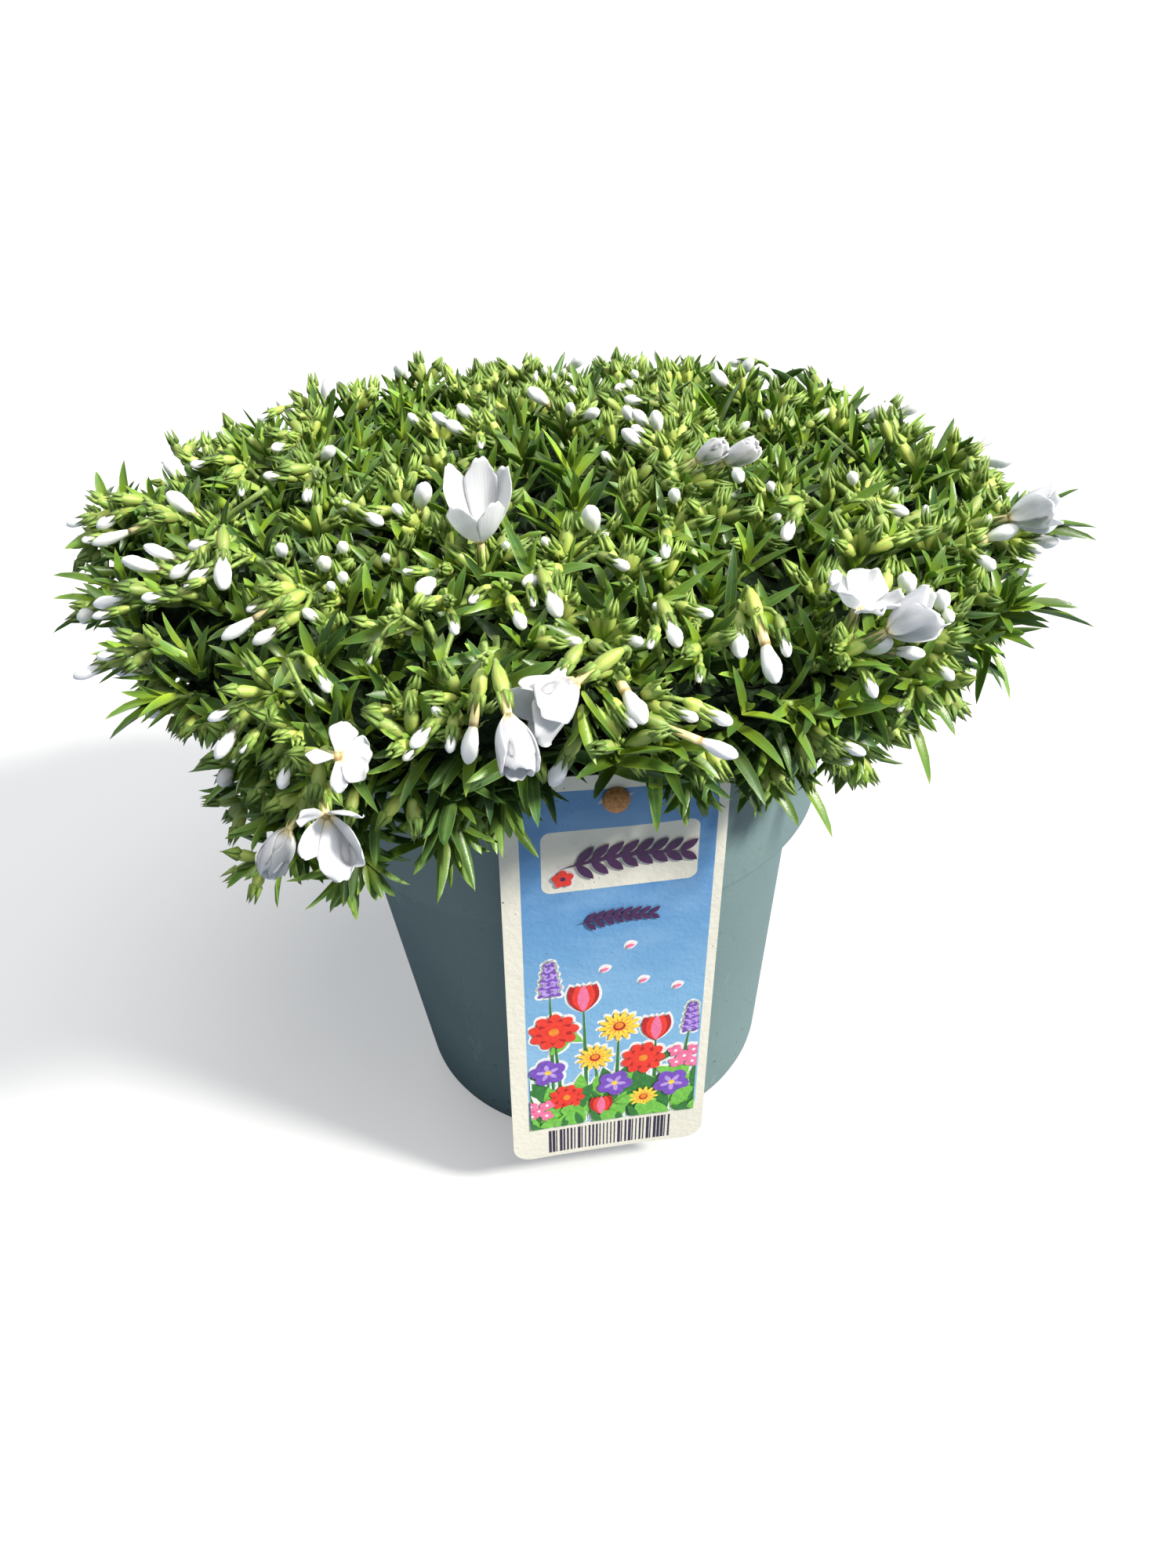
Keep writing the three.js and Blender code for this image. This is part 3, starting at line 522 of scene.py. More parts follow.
class Surface:
    """A material with one Principled shader; its methods add nodes and give back their outputs."""

    def __init__(self, name, **sockets):
        self.material = bpy.data.materials.new(name)
        self.material.use_nodes = True
        self.tree = self.material.node_tree
        self.shader = self.tree.nodes["Principled BSDF"]
        for key, value in sockets.items():
            self.shader.inputs[key.replace("_", " ")].default_value = value

    def value(self, name):
        return add_node(self.tree, "Attribute", attribute_name=name).outputs["Fac"]

    def position(self):
        return add_node(self.tree, "NewGeometry").outputs["Position"]

    def noise(self, scale, detail, stretch=None, where=None, roughness=0.5):
        """Noise over the piece's own place, from 0 to 1; scale counts features in a metre."""
        where = where or self.position()
        if stretch:
            where = add_node(self.tree, "Mapping", {"Vector": where, "Scale": stretch}).outputs["Vector"]
        inputs = {"Vector": where, "Scale": scale, "Detail": detail, "Roughness": roughness}
        return add_node(self.tree, "TexNoise", inputs).outputs["Fac"]

    def cells(self, scale):
        """Distance to the nearest of scattered points; scale counts them in a metre."""
        inputs = {"Vector": self.position(), "Scale": scale}
        return add_node(self.tree, "TexVoronoi", inputs).outputs["Distance"]

    def join(self, x, y, z=0.0):
        return add_node(self.tree, "CombineXYZ", {"X": x, "Y": y, "Z": z}).outputs["Vector"]

    def math(self, operation, *values):
        return add_node(self.tree, "Math", dict(enumerate(values)), operation=operation).outputs[0]

    def rescale(self, value, low, high, to_low=0.0, to_high=1.0, kind="LINEAR"):
        inputs = {"Value": value, "From Min": low, "From Max": high, "To Min": to_low, "To Max": to_high}
        return add_node(self.tree, "MapRange", inputs, interpolation_type=kind).outputs["Result"]

    def mix(self, factor, first, second):
        return add_node(self.tree, "Mix", {0: factor, 6: first, 7: second}, data_type="RGBA").outputs[2]

    def cover(self, base, tint, value, low, high, share=1.0):
        """The base, covered with a tint up to a share as a value goes from low to high."""
        return self.mix(self.rescale(value, low, high, 0.0, share), base, tint)

    def ramp(self, factor, *stops):
        """A colour ramp with stops of (place, colour)."""
        made = add_node(self.tree, "ValToRGB", {"Fac": factor})
        elements = made.color_ramp.elements
        while len(elements) < len(stops):
            elements.new(0.5)
        for element, (place, value) in zip(elements, stops):
            element.position = place
            element.color = rgba(value)
        return made.outputs["Color"]

    def tinted(self, base, tone, values, hues, saturation=1.0):
        """The colour with a value and a hue that follow the tone."""
        inputs = {"Color": base, "Value": self.rescale(tone, 0, 1, *values), "Saturation": saturation}
        inputs["Hue"] = self.rescale(tone, 0, 1, *hues)
        return add_node(self.tree, "HueSaturation", inputs).outputs["Color"]

    def finish(self, base, roughness=None, height=None, depth=0.0002, strength=0.5):
        """Links colour, roughness and bump; a roughness of (low, high) follows the height."""
        self.tree.links.new(base, self.shader.inputs["Base Color"])
        if isinstance(roughness, tuple):
            roughness = self.rescale(height, 0.3, 0.7, *roughness)
        if roughness is not None:
            self.tree.links.new(roughness, self.shader.inputs["Roughness"])
        if height is not None:
            bump = add_node(self.tree, "Bump", {"Height": height, "Strength": strength, "Distance": depth})
            self.tree.links.new(bump.outputs["Normal"], self.shader.inputs["Normal"])
        return self.material


# ---------------- the mound's surface

def around(table, azimuth):
    """Reads a table of the mound at azimuths in radians, along a closed smooth curve."""
    table = np.asarray(table, float)
    place = (azimuth + np.pi) / (2 * np.pi) * len(table)
    here = np.floor(place).astype(int)
    before, start, end, after = (table[(here + step) % len(table)] for step in (-1, 0, 1, 2))
    return catmull(before, start, end, after, place - here)


class Mound:
    """The surface that the tips reach, as a grid to scatter on and to aim at."""

    COLUMNS = 180
    ROWS = 60
    RUNS = 6  # from 0, the top, to where the mound meets the pot's rim

    def __init__(self):
        azimuths = np.linspace(-np.pi, np.pi, self.COLUMNS, endpoint=False)
        self.points = self.surface(azimuths, np.linspace(0, self.RUNS, self.ROWS)).reshape(-1, 3)
        numbers = np.arange(self.COLUMNS * self.ROWS).reshape(self.COLUMNS, self.ROWS)
        turned = np.roll(numbers, -1, 0)
        cells = np.stack([numbers[:, :-1], numbers[:, 1:], turned[:, 1:], turned[:, :-1]], -1)
        self.cells = cells.reshape(-1, 4)
        self.tree = BVHTree.FromPolygons(self.points.tolist(), self.cells.tolist())

    @classmethod
    def surface(cls, azimuths, runs):
        """Points at azimuths and at runs down the mound."""
        radius, edge, shoulder, skirt = (
            around(MOUND[name], azimuths) for name in ("radius", "edge", "shoulder", "skirt")
        )
        tuck, flat = radius * 0.88, 0 * radius
        top = np.full_like(radius, MOUND["top"])
        brow = top - 3 + 0.25 * (shoulder - top)
        section = [
            (-0.5 * radius, brow), (flat, top), (0.5 * radius, brow), (0.86 * radius, shoulder),
            (radius, edge), (0.5 * (radius + tuck) + 3, 0.5 * (edge + skirt) - 2), (tuck, skirt),
            (86 + flat, 158 + flat), (76 + flat, 162 + flat),
        ]
        section = np.array(section).transpose(0, 2, 1)
        start = np.minimum(np.floor(runs).astype(int), cls.RUNS - 1)
        across = catmull(*(section[start + step] for step in range(4)), (runs - start)[:, None, None])
        reach, height = across[..., 0].T, across[..., 1].T
        return np.stack([reach * np.cos(azimuths)[:, None], reach * np.sin(azimuths)[:, None], height], -1)

    def scatter(self, random, count, lowest_run=5.2):
        """Places spread evenly over the surface, with their normals."""
        rows = np.tile(np.arange(self.ROWS - 1), self.COLUMNS)
        cells = self.cells[rows < lowest_run / self.RUNS * self.ROWS]
        first, second, third, fourth = (self.points[cells[:, i]] for i in range(4))
        normal = np.cross(third - first, fourth - second)
        share = np.linalg.norm(normal, axis=1)
        pick = random.choice(len(cells), count, p=share / share.sum())
        across, down = random.random((2, count, 1))
        place = (first[pick] * (1 - across) + fourth[pick] * across) * (1 - down)
        place += (second[pick] * (1 - across) + third[pick] * across) * down
        return place, unit(normal[pick])

    def nearest(self, place):
        found, normal, _, distance = self.tree.find_nearest(Vector(place))
        return np.array(found), np.array(normal), distance

    def seen_at(self, eye, ray):
        """Where a ray from the eye meets the surface, or passes nearest to it, and the normal there."""
        place, normal, _, _ = self.tree.ray_cast(Vector(eye), Vector(ray))
        if place is None:
            steps = [eye + ray * reach for reach in np.arange(180, 560, 4.0)]
            place = min(steps, key=lambda step: self.nearest(step)[2])
            normal = self.nearest(place)[1]
        return np.array(place), np.array(normal)


class Eye:
    """The camera as directions: which ray goes through a pixel, and how large a millimetre looks."""

    def __init__(self):
        pitch, roll, yaw = (math.radians(CAMERA[name]) for name in ("pitch", "roll", "yaw"))
        self.place = np.array([0.0, -CAMERA["distance"], CAMERA["height"]])
        level = math.cos(pitch)
        self.forward = np.array([math.sin(yaw) * level, math.cos(yaw) * level, -math.sin(pitch)])
        right = unit(np.cross(self.forward, [0.0, 0.0, 1.0]))
        up = np.cross(right, self.forward)
        self.right = math.cos(roll) * right + math.sin(roll) * up
        self.up = math.cos(roll) * up - math.sin(roll) * right

    def ray(self, x, y):
        across, down = (x - IMAGE[0] / 2) / FOCAL_PIXELS, (y - IMAGE[1] / 2) / FOCAL_PIXELS
        return unit(self.forward + self.right * across - self.up * down)

    def scale(self, place):
        """Pixels that a millimetre covers there."""
        return FOCAL_PIXELS / float((place - self.place) @ self.forward)


# ---------------- organs of the plant

LEAF_RINGS = np.array([(0.04, 0.58), (0.20, 0.88), (0.42, 1.0), (0.66, 0.84), (0.87, 0.46)])  # run, width
# Across and up from the midrib, in half widths: one edge, the midrib, the other edge and the keel.
LEAF_SECTION = np.array([(1, 0.34), (0, 0), (-1, 0.34), (0, -0.6)])


def add_leaves(growth, keep_clear, foot, axis, outward, long, wide, lean, curl, sweep, roll, tone, age):
    """Blades that leave an axis, fold along the midrib, and bend away from the axis as they go."""
    run, half = LEAF_RINGS[:, 0], LEAF_RINGS[:, 1] / 2

    def bent(share):
        """The midrib's angle to the axis, and its places."""
        angle = lean[:, None] + curl[:, None] * share
        rise = (np.sin(angle) - np.sin(lean)[:, None]) / curl[:, None]
        reach = (np.cos(lean)[:, None] - np.cos(angle)) / curl[:, None]
        drift = sweep[:, None] * share**2
        middle = rise[..., None] * axis[:, None] + reach[..., None] * outward[:, None]
        middle = middle + drift[..., None] * np.cross(axis, outward)[:, None]
        return angle, foot[:, None] + long[:, None, None] * middle

    angle, centres = bent(run[None])
    tip = bent(np.ones((1, 1)))[1][:, 0]
    heading = np.cos(angle)[..., None] * axis[:, None] + np.sin(angle)[..., None] * outward[:, None]
    facing = np.sin(angle)[..., None] * axis[:, None] - np.cos(angle)[..., None] * outward[:, None]
    across = np.cross(facing, heading)
    turn = roll[:, None] * run
    sides = across * np.cos(turn)[..., None] + facing * np.sin(turn)[..., None]
    tops = facing * np.cos(turn)[..., None] - across * np.sin(turn)[..., None]
    outline = (half * wide[:, None])[..., None, None] * LEAF_SECTION
    points = skin_points(foot, centres, sides, tops, outline, tip)
    kept = keep_clear(points)
    rings = len(run)
    growth.add(
        points[kept],
        4,
        along=along_skin(run, 4),
        edge=per_corner(0.3, np.tile([1, 0, 1, 0], rings), 0.6),
        under=per_corner(0.5, np.tile([0.2, 0, 0.2, 1], rings), 0.2),
        crease=per_corner(3, np.tile([1, 0, 2, 0], rings), 3),
        tone=tone[kept, None],
        age=age[kept, None],
    )
    return kept


def add_tubes(growth, start, knee, end, radius, corners=5, steps=5, taper=1.0, **values):
    """Stems along a bent way from start over knee to end."""
    share = np.linspace(0, 1, steps)[None, :, None]
    path = bezier(start[:, None], knee[:, None], end[:, None], share)
    heading = unit(2 * (1 - share) * (knee - start)[:, None] + 2 * share * (end - knee)[:, None] + 1e-9)
    thickness = np.broadcast_to(radius, len(start))[:, None] * (1 + (taper - 1) * share[..., 0])
    points = skin_points(start, path, *square_to(heading), round_outline(thickness, corners), end)
    growth.add(points, corners, along=along_skin(share[0, :, 0], corners), **values)


CALYX_RINGS = np.array([(0.04, 0.40), (0.26, 0.86), (0.56, 1.0), (0.84, 0.70)])  # run, radius
CALYX_RIBS = 5
TOOTH = {"length": 5.2, "radius": 0.85, "sunk": 1.2}


def add_calyces(growth, keep_clear, foot, heading, long, radius, splay, tone):
    """Ribbed green calyces with five pointed teeth round the mouth."""
    long, radius, splay = (np.broadcast_to(value, len(foot)) for value in (long, radius, splay))
    sides, tops = square_to(heading)
    run, swell = CALYX_RINGS.T
    corners = 2 * CALYX_RIBS
    rib = np.tile([1.0, 0.0], CALYX_RIBS)
    outline = round_outline(radius[:, None] * swell, corners, 0.93 + 0.14 * rib)
    centres = foot[:, None] + heading[:, None] * (run * long[:, None])[..., None]
    points = skin_points(foot, centres, sides, tops, outline, foot + heading * long[:, None])
    kept = keep_clear(points)
    rib = per_corner(0, np.tile(rib, len(run)), 0)
    growth.add(points[kept], corners, along=along_skin(run, corners), rib=rib, tone=tone[kept, None])
    angle = np.arange(CALYX_RIBS) * 2 * np.pi / CALYX_RIBS
    radial = spun(angle[None], sides[kept], tops[kept])
    mouth = centres[kept][:, -1][:, None] + radial * (radius[kept] * swell[-1])[:, None, None]
    ahead = np.broadcast_to(heading[kept][:, None], radial.shape)
    point = unit(ahead + splay[kept, None, None] * radial).reshape(-1, 3)
    start = mouth.reshape(-1, 3) - point * TOOTH["sunk"]
    ring = round_outline(np.array([TOOTH["radius"], TOOTH["radius"] * 0.72]), 3)
    middles = np.stack([start + point * 0.7, start + point * 2.4], 1)
    teeth = skin_points(start, middles, *square_to(point), ring, start + point * TOOTH["length"])
    each = np.repeat(tone[kept], CALYX_RIBS)[:, None]
    growth.add(teeth, 3, along=per_corner(0.9, np.full(6, 0.95), 1), rib=0.7, tone=each)


BUD_RINGS = np.array([  # run, radius
    (0.02, 0.36), (0.12, 0.54), (0.28, 0.76), (0.46, 0.94), (0.62, 1.0), (0.76, 0.90), (0.88, 0.66),
    (0.96, 0.38),
])
BUD_CORNERS = 15
BUD_TWIST = 1.5


def add_buds(growth, foot, heading, long, radius, tone):
    """Spindle buds: five petals rolled round each other, each overlapping the next."""
    run, swell = BUD_RINGS.T
    folds = BUD_CORNERS // 3
    lap = np.tile([-0.07, 0.02, 0.07], folds) + 1
    angle = np.arange(BUD_CORNERS) * 2 * np.pi / BUD_CORNERS + BUD_TWIST * run[:, None]
    circle = np.stack([np.cos(angle), np.sin(angle)], -1) * lap[:, None]
    outline = circle * (radius[:, None] * swell)[..., None, None]
    centres = foot[:, None] + heading[:, None] * (run * long[:, None])[..., None]
    points = skin_points(foot, centres, *square_to(heading), outline, foot + heading * long[:, None])
    # fold is 1 at the tucked overlap of each petal, where the bud's material paints shade.
    fold = per_corner(0, np.tile([1.0, 0.3, 0.0], folds * len(run)), 0.2)
    growth.add(points, BUD_CORNERS, along=along_skin(run, BUD_CORNERS), fold=fold, tone=tone[:, None])


def keep_all(points):
    return np.ones(len(points), bool)


# ---------------- how the plant is laid out

SEE_THROUGH = 14.0  # how far in front of a bud or bloom no leaf may stand
SHOOT_TRIES = 9000
CLUSTER_SHARE = 0.26  # of the shoots that no bud or bloom stands on


class Plan:
    """Where every shoot, bud and bloom stands."""

    def __init__(self):
        shoots = bpy.context.scene.phlox_shoots
        self.random = np.random.default_rng(shoots.seed)
        self.eye = Eye()
        self.mound = Mound()
        self.spacing, self.calyx = in_mm(shoots, "spacing", "calyx_length")
        self.place_buds()
        self.place_blooms()
        self.place_shoots()

    def seen_at(self, x, y):
        return self.mound.seen_at(self.eye.place, self.eye.ray(x, y))

    def place_buds(self):
        """Turns the buds' pixels into places: each lies on the mound and is as long as it looks, or longer
        where it points at the camera."""
        swell = bpy.context.scene.phlox_blooms.bud_swell
        rows = []
        for foot_x, foot_y, tip_x, tip_y, wide, tube in BUDS:
            place, normal = self.seen_at((foot_x + tip_x) / 2, (foot_y + tip_y) / 2)
            scale = self.eye.scale(place)
            shown = math.hypot(tip_x - foot_x, tip_y - foot_y) / scale
            long = max(shown, swell * wide / scale)
            flat = self.eye.right * (tip_x - foot_x) - self.eye.up * (tip_y - foot_y)
            nearer = unit(self.eye.place - place) * math.sqrt(max(0.0, 1 - (shown / long) ** 2))
            heading = unit(unit(flat) * shown / long + nearer)
            foot = place - normal * 1.5 - heading * long / 2
            rows.append((foot, heading, normal, long, wide / scale / 2, tube))
        self.buds = {key: np.array(column) for key, column in zip(BUD_KEYS, zip(*rows))}
        self.hidden_buds(swell)

    def hidden_buds(self, swell):
        """More buds, like the placed ones, where the camera doesn't look."""
        places, normals = self.mound.scatter(self.random, HIDDEN_BUDS["tries"], HIDDEN_BUDS["lowest_run"])
        away = np.einsum("ij,ij->i", unit(self.eye.place - places), normals) < HIDDEN_BUDS["facing"]
        chosen = spaced_out(places[away], HIDDEN_BUDS["spacing"], [])
        places, normals = places[away][chosen], normals[away][chosen]
        count = len(places)
        heading = unit(normals * 0.7 + self.random.normal(0, 0.45, (count, 3)) + [0, 0, 0.25])
        long = self.random.uniform(*HIDDEN_BUDS["length"], count)
        tube = np.where(self.random.random(count) < 0.15, 4.0, 0.0)
        extra = (places - heading * (long * 0.6)[:, None], heading, normals, long, long / swell / 2, tube)
        for key, more in zip(BUD_KEYS, extra):
            self.buds[key] = np.concatenate([self.buds[key], more])

    def place_blooms(self):
        """Puts every bloom's throat on the ray through its pixel, a little above the mound."""
        self.blooms = {}
        for name, row in BLOOMS.items():
            bloom = dict(zip(BLOOM_KEYS, row))
            place, _ = self.seen_at(*bloom["foot"])
            right, up, nearer = bloom["aim"]
            toward = unit(self.eye.place - place)
            axis = unit(self.eye.right * right + self.eye.up * up - self.eye.forward * nearer)
            self.blooms[name] = {**bloom, "throat": place + toward * bloom["lift"], "axis": axis}

    def add_sprays(self, tips, axes, homes):
        """Shoots that hang out from under the mound's edge, each with side shoots along it."""
        for azimuth, radius, height in SPRAYS:
            angle = np.radians(azimuth)
            anchor = polar(azimuth, around(MOUND["radius"], angle) - 30, around(MOUND["edge"], angle) - 10)
            end = polar(azimuth, radius, height)
            knee = polar(azimuth, radius * 0.97, anchor[2] - 2)
            for share, turn in SIDE_SHOOTS:
                ahead = unit((1 - share) * (knee - anchor) + share * (end - knee))
                side = unit(np.cross(ahead, [0.0, 0.0, 1.0]) + self.random.normal(0, 0.25, 3))
                axis = unit(ahead + 0.75 * turn * side)
                tips.append(bezier(anchor, knee, end, share) + axis * 7 * abs(turn))
                axes.append(axis)
                homes.append(anchor)

    def place_shoots(self):
        """Shoots under the placed buds and blooms first, then evenly over the rest of the mound."""
        tips, axes, holders = [], [], []
        for foot, heading, normal, _, _, tube in zip(*(self.buds[key] for key in BUD_KEYS)):
            back = foot - heading * (tube + 0.8 * self.calyx)
            node = back - unit(heading + normal) * 3.0
            near = [i for i, tip in enumerate(tips) if np.linalg.norm(tip - node) < 8]
            holders.append(near[0] if near else len(tips))
            if not near:
                tips.append(node)
                axes.append(unit(normal * 0.8 + heading * 0.4 + [0, 0, 0.15]))
        self.buds["holder"] = np.array(holders)
        for bloom in self.blooms.values():
            root = bloom["throat"] - bloom["axis"] * (TUBE["length"] * 0.7 + 0.7 * self.calyx)
            inside, normal, _ = self.mound.nearest(root)
            bloom["holder"] = len(tips)
            tips.append(0.4 * root + 0.6 * (inside - normal * 6))
            axes.append(unit(normal * 0.8 + bloom["axis"] * 0.4))
        placed = len(tips)
        homes = [CROWN] * placed
        self.add_sprays(tips, axes, homes)
        tips, axes = np.array(tips), np.array(axes)
        places, normals = self.mound.scatter(self.random, SHOOT_TRIES)
        sink = self.random.uniform(7.5, 11.5, (len(places), 1)) + self.dips(places)[:, None]
        places = places - normals * sink
        chosen = spaced_out(places, self.spacing, tips)
        chosen = chosen[self.outside_hollows(places[chosen] + normals[chosen] * sink[chosen])]
        rise = smooth(places[chosen][:, 2:3], 150, 195)
        wander = self.random.normal(0, 0.26, (len(chosen), 3))
        more = unit(normals[chosen] * 0.85 + np.array([0, 0, 0.38]) * rise + wander)
        self.tips = np.vstack([tips, places[chosen]])
        self.axes = np.vstack([axes, more])
        self.homes = np.vstack([homes, np.tile(CROWN, (len(chosen), 1))])
        self.has_cluster = self.random.random(len(self.tips)) < CLUSTER_SHARE
        self.has_cluster[:placed] = True
        self.vigour = self.random.uniform(0.82, 1.18, len(self.tips))
        self.leafy = np.zeros(len(self.tips))

    def dips(self, places):
        """How much deeper the shoots stand in the low places between the bunches."""
        ways, phases = self.random.normal(0, 0.16, (4, 3)), self.random.uniform(0, 6, 4)
        waves = sum(np.sin(places @ way + phase) for way, phase in zip(ways, phases))
        return 4.0 * smooth(waves, 0.8, 2.6)

    def outside_hollows(self, places):
        clear = keep_all(places)
        for x, y, radius in HOLLOWS:
            clear &= np.linalg.norm(places - self.seen_at(x, y)[0], axis=1) > radius
        return clear

    def spines(self):
        """What leaves may neither cross nor hide: foot, heading, length, radius and how much it widens."""
        buds = self.buds
        found = [(*row, 0.0) for row in zip(buds["foot"], buds["heading"], buds["long"], buds["radius"])]
        for bloom in self.blooms.values():
            angle = math.radians(sum(bloom["open"]) / 2)
            throat, axis, tube = bloom["throat"], bloom["axis"], TUBE["length"] * 0.6
            found.append((throat, axis, bloom["petal"] * math.cos(angle), 1.3, math.tan(angle)))
            found.append((throat - axis * TUBE["length"] * 0.6, axis, tube, TUBE["radius"], 0.0))
        toward = unit(self.eye.place - LABEL_HOLE)
        return found + [(LABEL_HOLE + toward * step, LABEL_AXES[:, 2], 4.0, 5.2, 0.0) for step in (0, 12, 24)]

    def keep_clear(self, points):
        """Which bodies cross neither pot nor label, bud nor bloom, nor hide one from the camera."""
        flat = np.hypot(points[..., 0], points[..., 1])
        kept = ~((flat < POT_RIM + 1.5) & (points[..., 2] < POT_TOP + 1.5)).any(1)
        kept &= ~in_label_space(points)
        tips = points[:, -1]
        for number in np.nonzero(kept & (tips[:, 2] > OUTLINE["from"]))[0]:
            found, normal, _ = self.mound.nearest(tips[number])
            kept[number] = (tips[number] - found) @ normal < OUTLINE["beyond"]
        middle = points.mean(1)
        reach = np.linalg.norm(points - middle[:, None], axis=2).max(1)
        for foot, heading, long, radius, flare in self.spines():
            nearer = unit(self.eye.place - foot)
            limit = reach + long + radius + flare * long + SEE_THROUGH
            close = np.nonzero(np.linalg.norm(middle - foot, axis=1) < limit)[0]
            part = points[close] - foot
            for share in (0.15, 0.4, 0.65, 0.9):
                offset = part - heading * long * share
                toward = offset @ nearer
                beside = np.linalg.norm(offset - toward[..., None] * nearer, axis=2)
                size = radius * 0.9 + flare * long * share
                hides = (beside < size) & (toward > 0) & (toward < SEE_THROUGH)
                crosses = np.linalg.norm(offset, axis=2) < size
                kept[close] &= ~(hides | crosses).any(1)
        return kept


def spaced_out(places, spacing, taken):
    """Picks places at least so far from each other and from those taken, in the order given."""
    chosen, held = [], [*taken]
    for number, place in enumerate(places):
        if not held or np.min(np.sum((np.array(held) - place) ** 2, axis=1)) > spacing**2:
            held.append(place)
            chosen.append(number)
    return np.array(chosen, int)


# ---------------- label frame

def label_matrix():
    """Columns across, along and out of the label's front, and the place of its hole."""
    section = POT_SECTION
    slope = (POT_RIM - section["band_radius"]) / (POT_TOP - section["band_bottom"])
    lean = math.radians(LABEL["lean"])
    outward = polar(LABEL["azimuth"] - 90, 1, 0)
    front = outward * math.cos(lean) - np.array([0, 0, math.sin(lean)])
    across = unit(np.cross([0, 0, 1.0], front))
    along = np.cross(front, across)
    height = LABEL["top"] - LABEL["hole_below_top"]
    radius = section["band_radius"] + slope * (height - section["band_bottom"]) + LABEL["gap"]
    hole = outward * radius + np.array([0, 0, height])
    turn = -math.radians(LABEL["turn"])
    turned_across = across * math.cos(turn) + along * math.sin(turn)
    turned_along = along * math.cos(turn) - across * math.sin(turn)
    return np.stack([turned_across, turned_along, front], 1), hole


LABEL_AXES, LABEL_HOLE = label_matrix()


def in_label_space(points):
    """Whether any point of each body lies in the label's card or in the peg's head."""
    local = (points - LABEL_HOLE) @ LABEL_AXES
    x, y, out = local[..., 0], local[..., 1], local[..., 2]
    space = LABEL_SPACE
    card = (np.abs(x) < space["half_width"]) & (y < LABEL["hole_below_top"] + 1) & (y > space["down"])
    card &= (out > space["behind"]) & (out < space["before"])
    peg = (np.hypot(x, y) < space["peg"]) & (np.abs(out) < space["peg"])
    return (card | peg).any(1)


# ---------------- foliage

QUARTERS = 4
LEAF_LEVELS = np.array([0.5, 2.8, 5.6, 8.8, 12.4, 16.6, 21.4, 27.0])  # millimetres below the shoot's tip
# How leaves change down the shoot: millimetres below the tip, and share of full size or degrees.
LEAF_SIZE = ([0, 5, 12], [0.5, 0.9, 1.0])
LEAF_LEAN = ([0, 5, 14, 27], [16, 34, 54, 62])
LEAF_CURL = ([0, 8, 27], [18, 34, 26])
# Inner growth: columns, rows and depth of its grid, and radius and height of its neck's rings.
CORE = {"columns": 144, "rows": 44, "depth": 17, "neck": ((74, POT_TOP), (70, 144), (66, 140.6))}
STALK_TONE = 0.7


def stem_way(plan, depth):
    """Places and headings down every shoot, at depths below its tip; the stems lean in to the crown."""
    homeward = unit(plan.homes - plan.tips)
    square = homeward + plan.axes * -np.einsum("ij,ij->i", homeward, plan.axes)[:, None]
    depth = np.asarray(depth, float)[None, :, None]
    places = plan.tips[:, None] - plan.axes[:, None] * depth + square[:, None] * depth**2 / 60
    headings = unit(plan.axes[:, None] - square[:, None] * depth / 30)
    return places, headings


def grow_leaves(plan, settings):
    """Opposite pairs, each square to the next, small at the tip and full-grown below it."""
    random = plan.random
    places, headings = stem_way(plan, LEAF_LEVELS)
    many = places.shape[:2]
    sides, tops = square_to(headings[:, 0])
    start = random.uniform(0, 2 * np.pi, (many[0], 1))
    angle = start + np.arange(many[1]) * np.pi / 2 + random.normal(0, 0.22, many)
    growths = [Growth() for _ in range(QUARTERS)]
    bearings = np.arctan2(plan.tips[:, 1], plan.tips[:, 0]) + np.pi
    quarter = (bearings / (2 * np.pi) * QUARTERS).astype(int) % QUARTERS
    full, leans, curls = (np.interp(LEAF_LEVELS, *by_depth) for by_depth in (LEAF_SIZE, LEAF_LEAN, LEAF_CURL))
    leaf_long, leaf_wide = in_mm(settings, "leaf_length", "leaf_width")
    for pair in (0, 1):
        outward = spun(angle + pair * np.pi + random.normal(0, 0.12, many), sides, tops)
        outward = unit(outward - headings * np.einsum("ijk,ijk->ij", outward, headings)[..., None])
        leaves = {
            "foot": places,
            "axis": headings,
            "outward": outward,
            "long": leaf_long * full * plan.vigour[:, None] * random.uniform(0.78, 1.2, many),
            "wide": leaf_wide * (0.5 + 0.5 * full) * random.uniform(0.8, 1.12, many),
            "lean": np.abs(np.radians(leans) + random.normal(0, 0.14, many)),
            "curl": np.maximum(0.08, np.radians(curls) + random.normal(0, 0.22, many)),
            "sweep": random.normal(0, 0.10, many),
            "roll": random.normal(0, 0.5, many),
            "tone": random.random(many),
            "age": np.clip(LEAF_LEVELS / 18 + random.normal(0, 0.1, many), 0, 1),
        }
        for number, growth in enumerate(growths):
            mine = quarter == number
            flat = {key: values[mine].reshape(-1, *values.shape[2:]) for key, values in leaves.items()}
            kept = add_leaves(growth, plan.keep_clear, **flat)
            plan.leafy[mine] += kept.reshape(-1, many[1]).mean(1) / 2
    grow_strays(plan, leaf_wide, growths[0])
    return growths


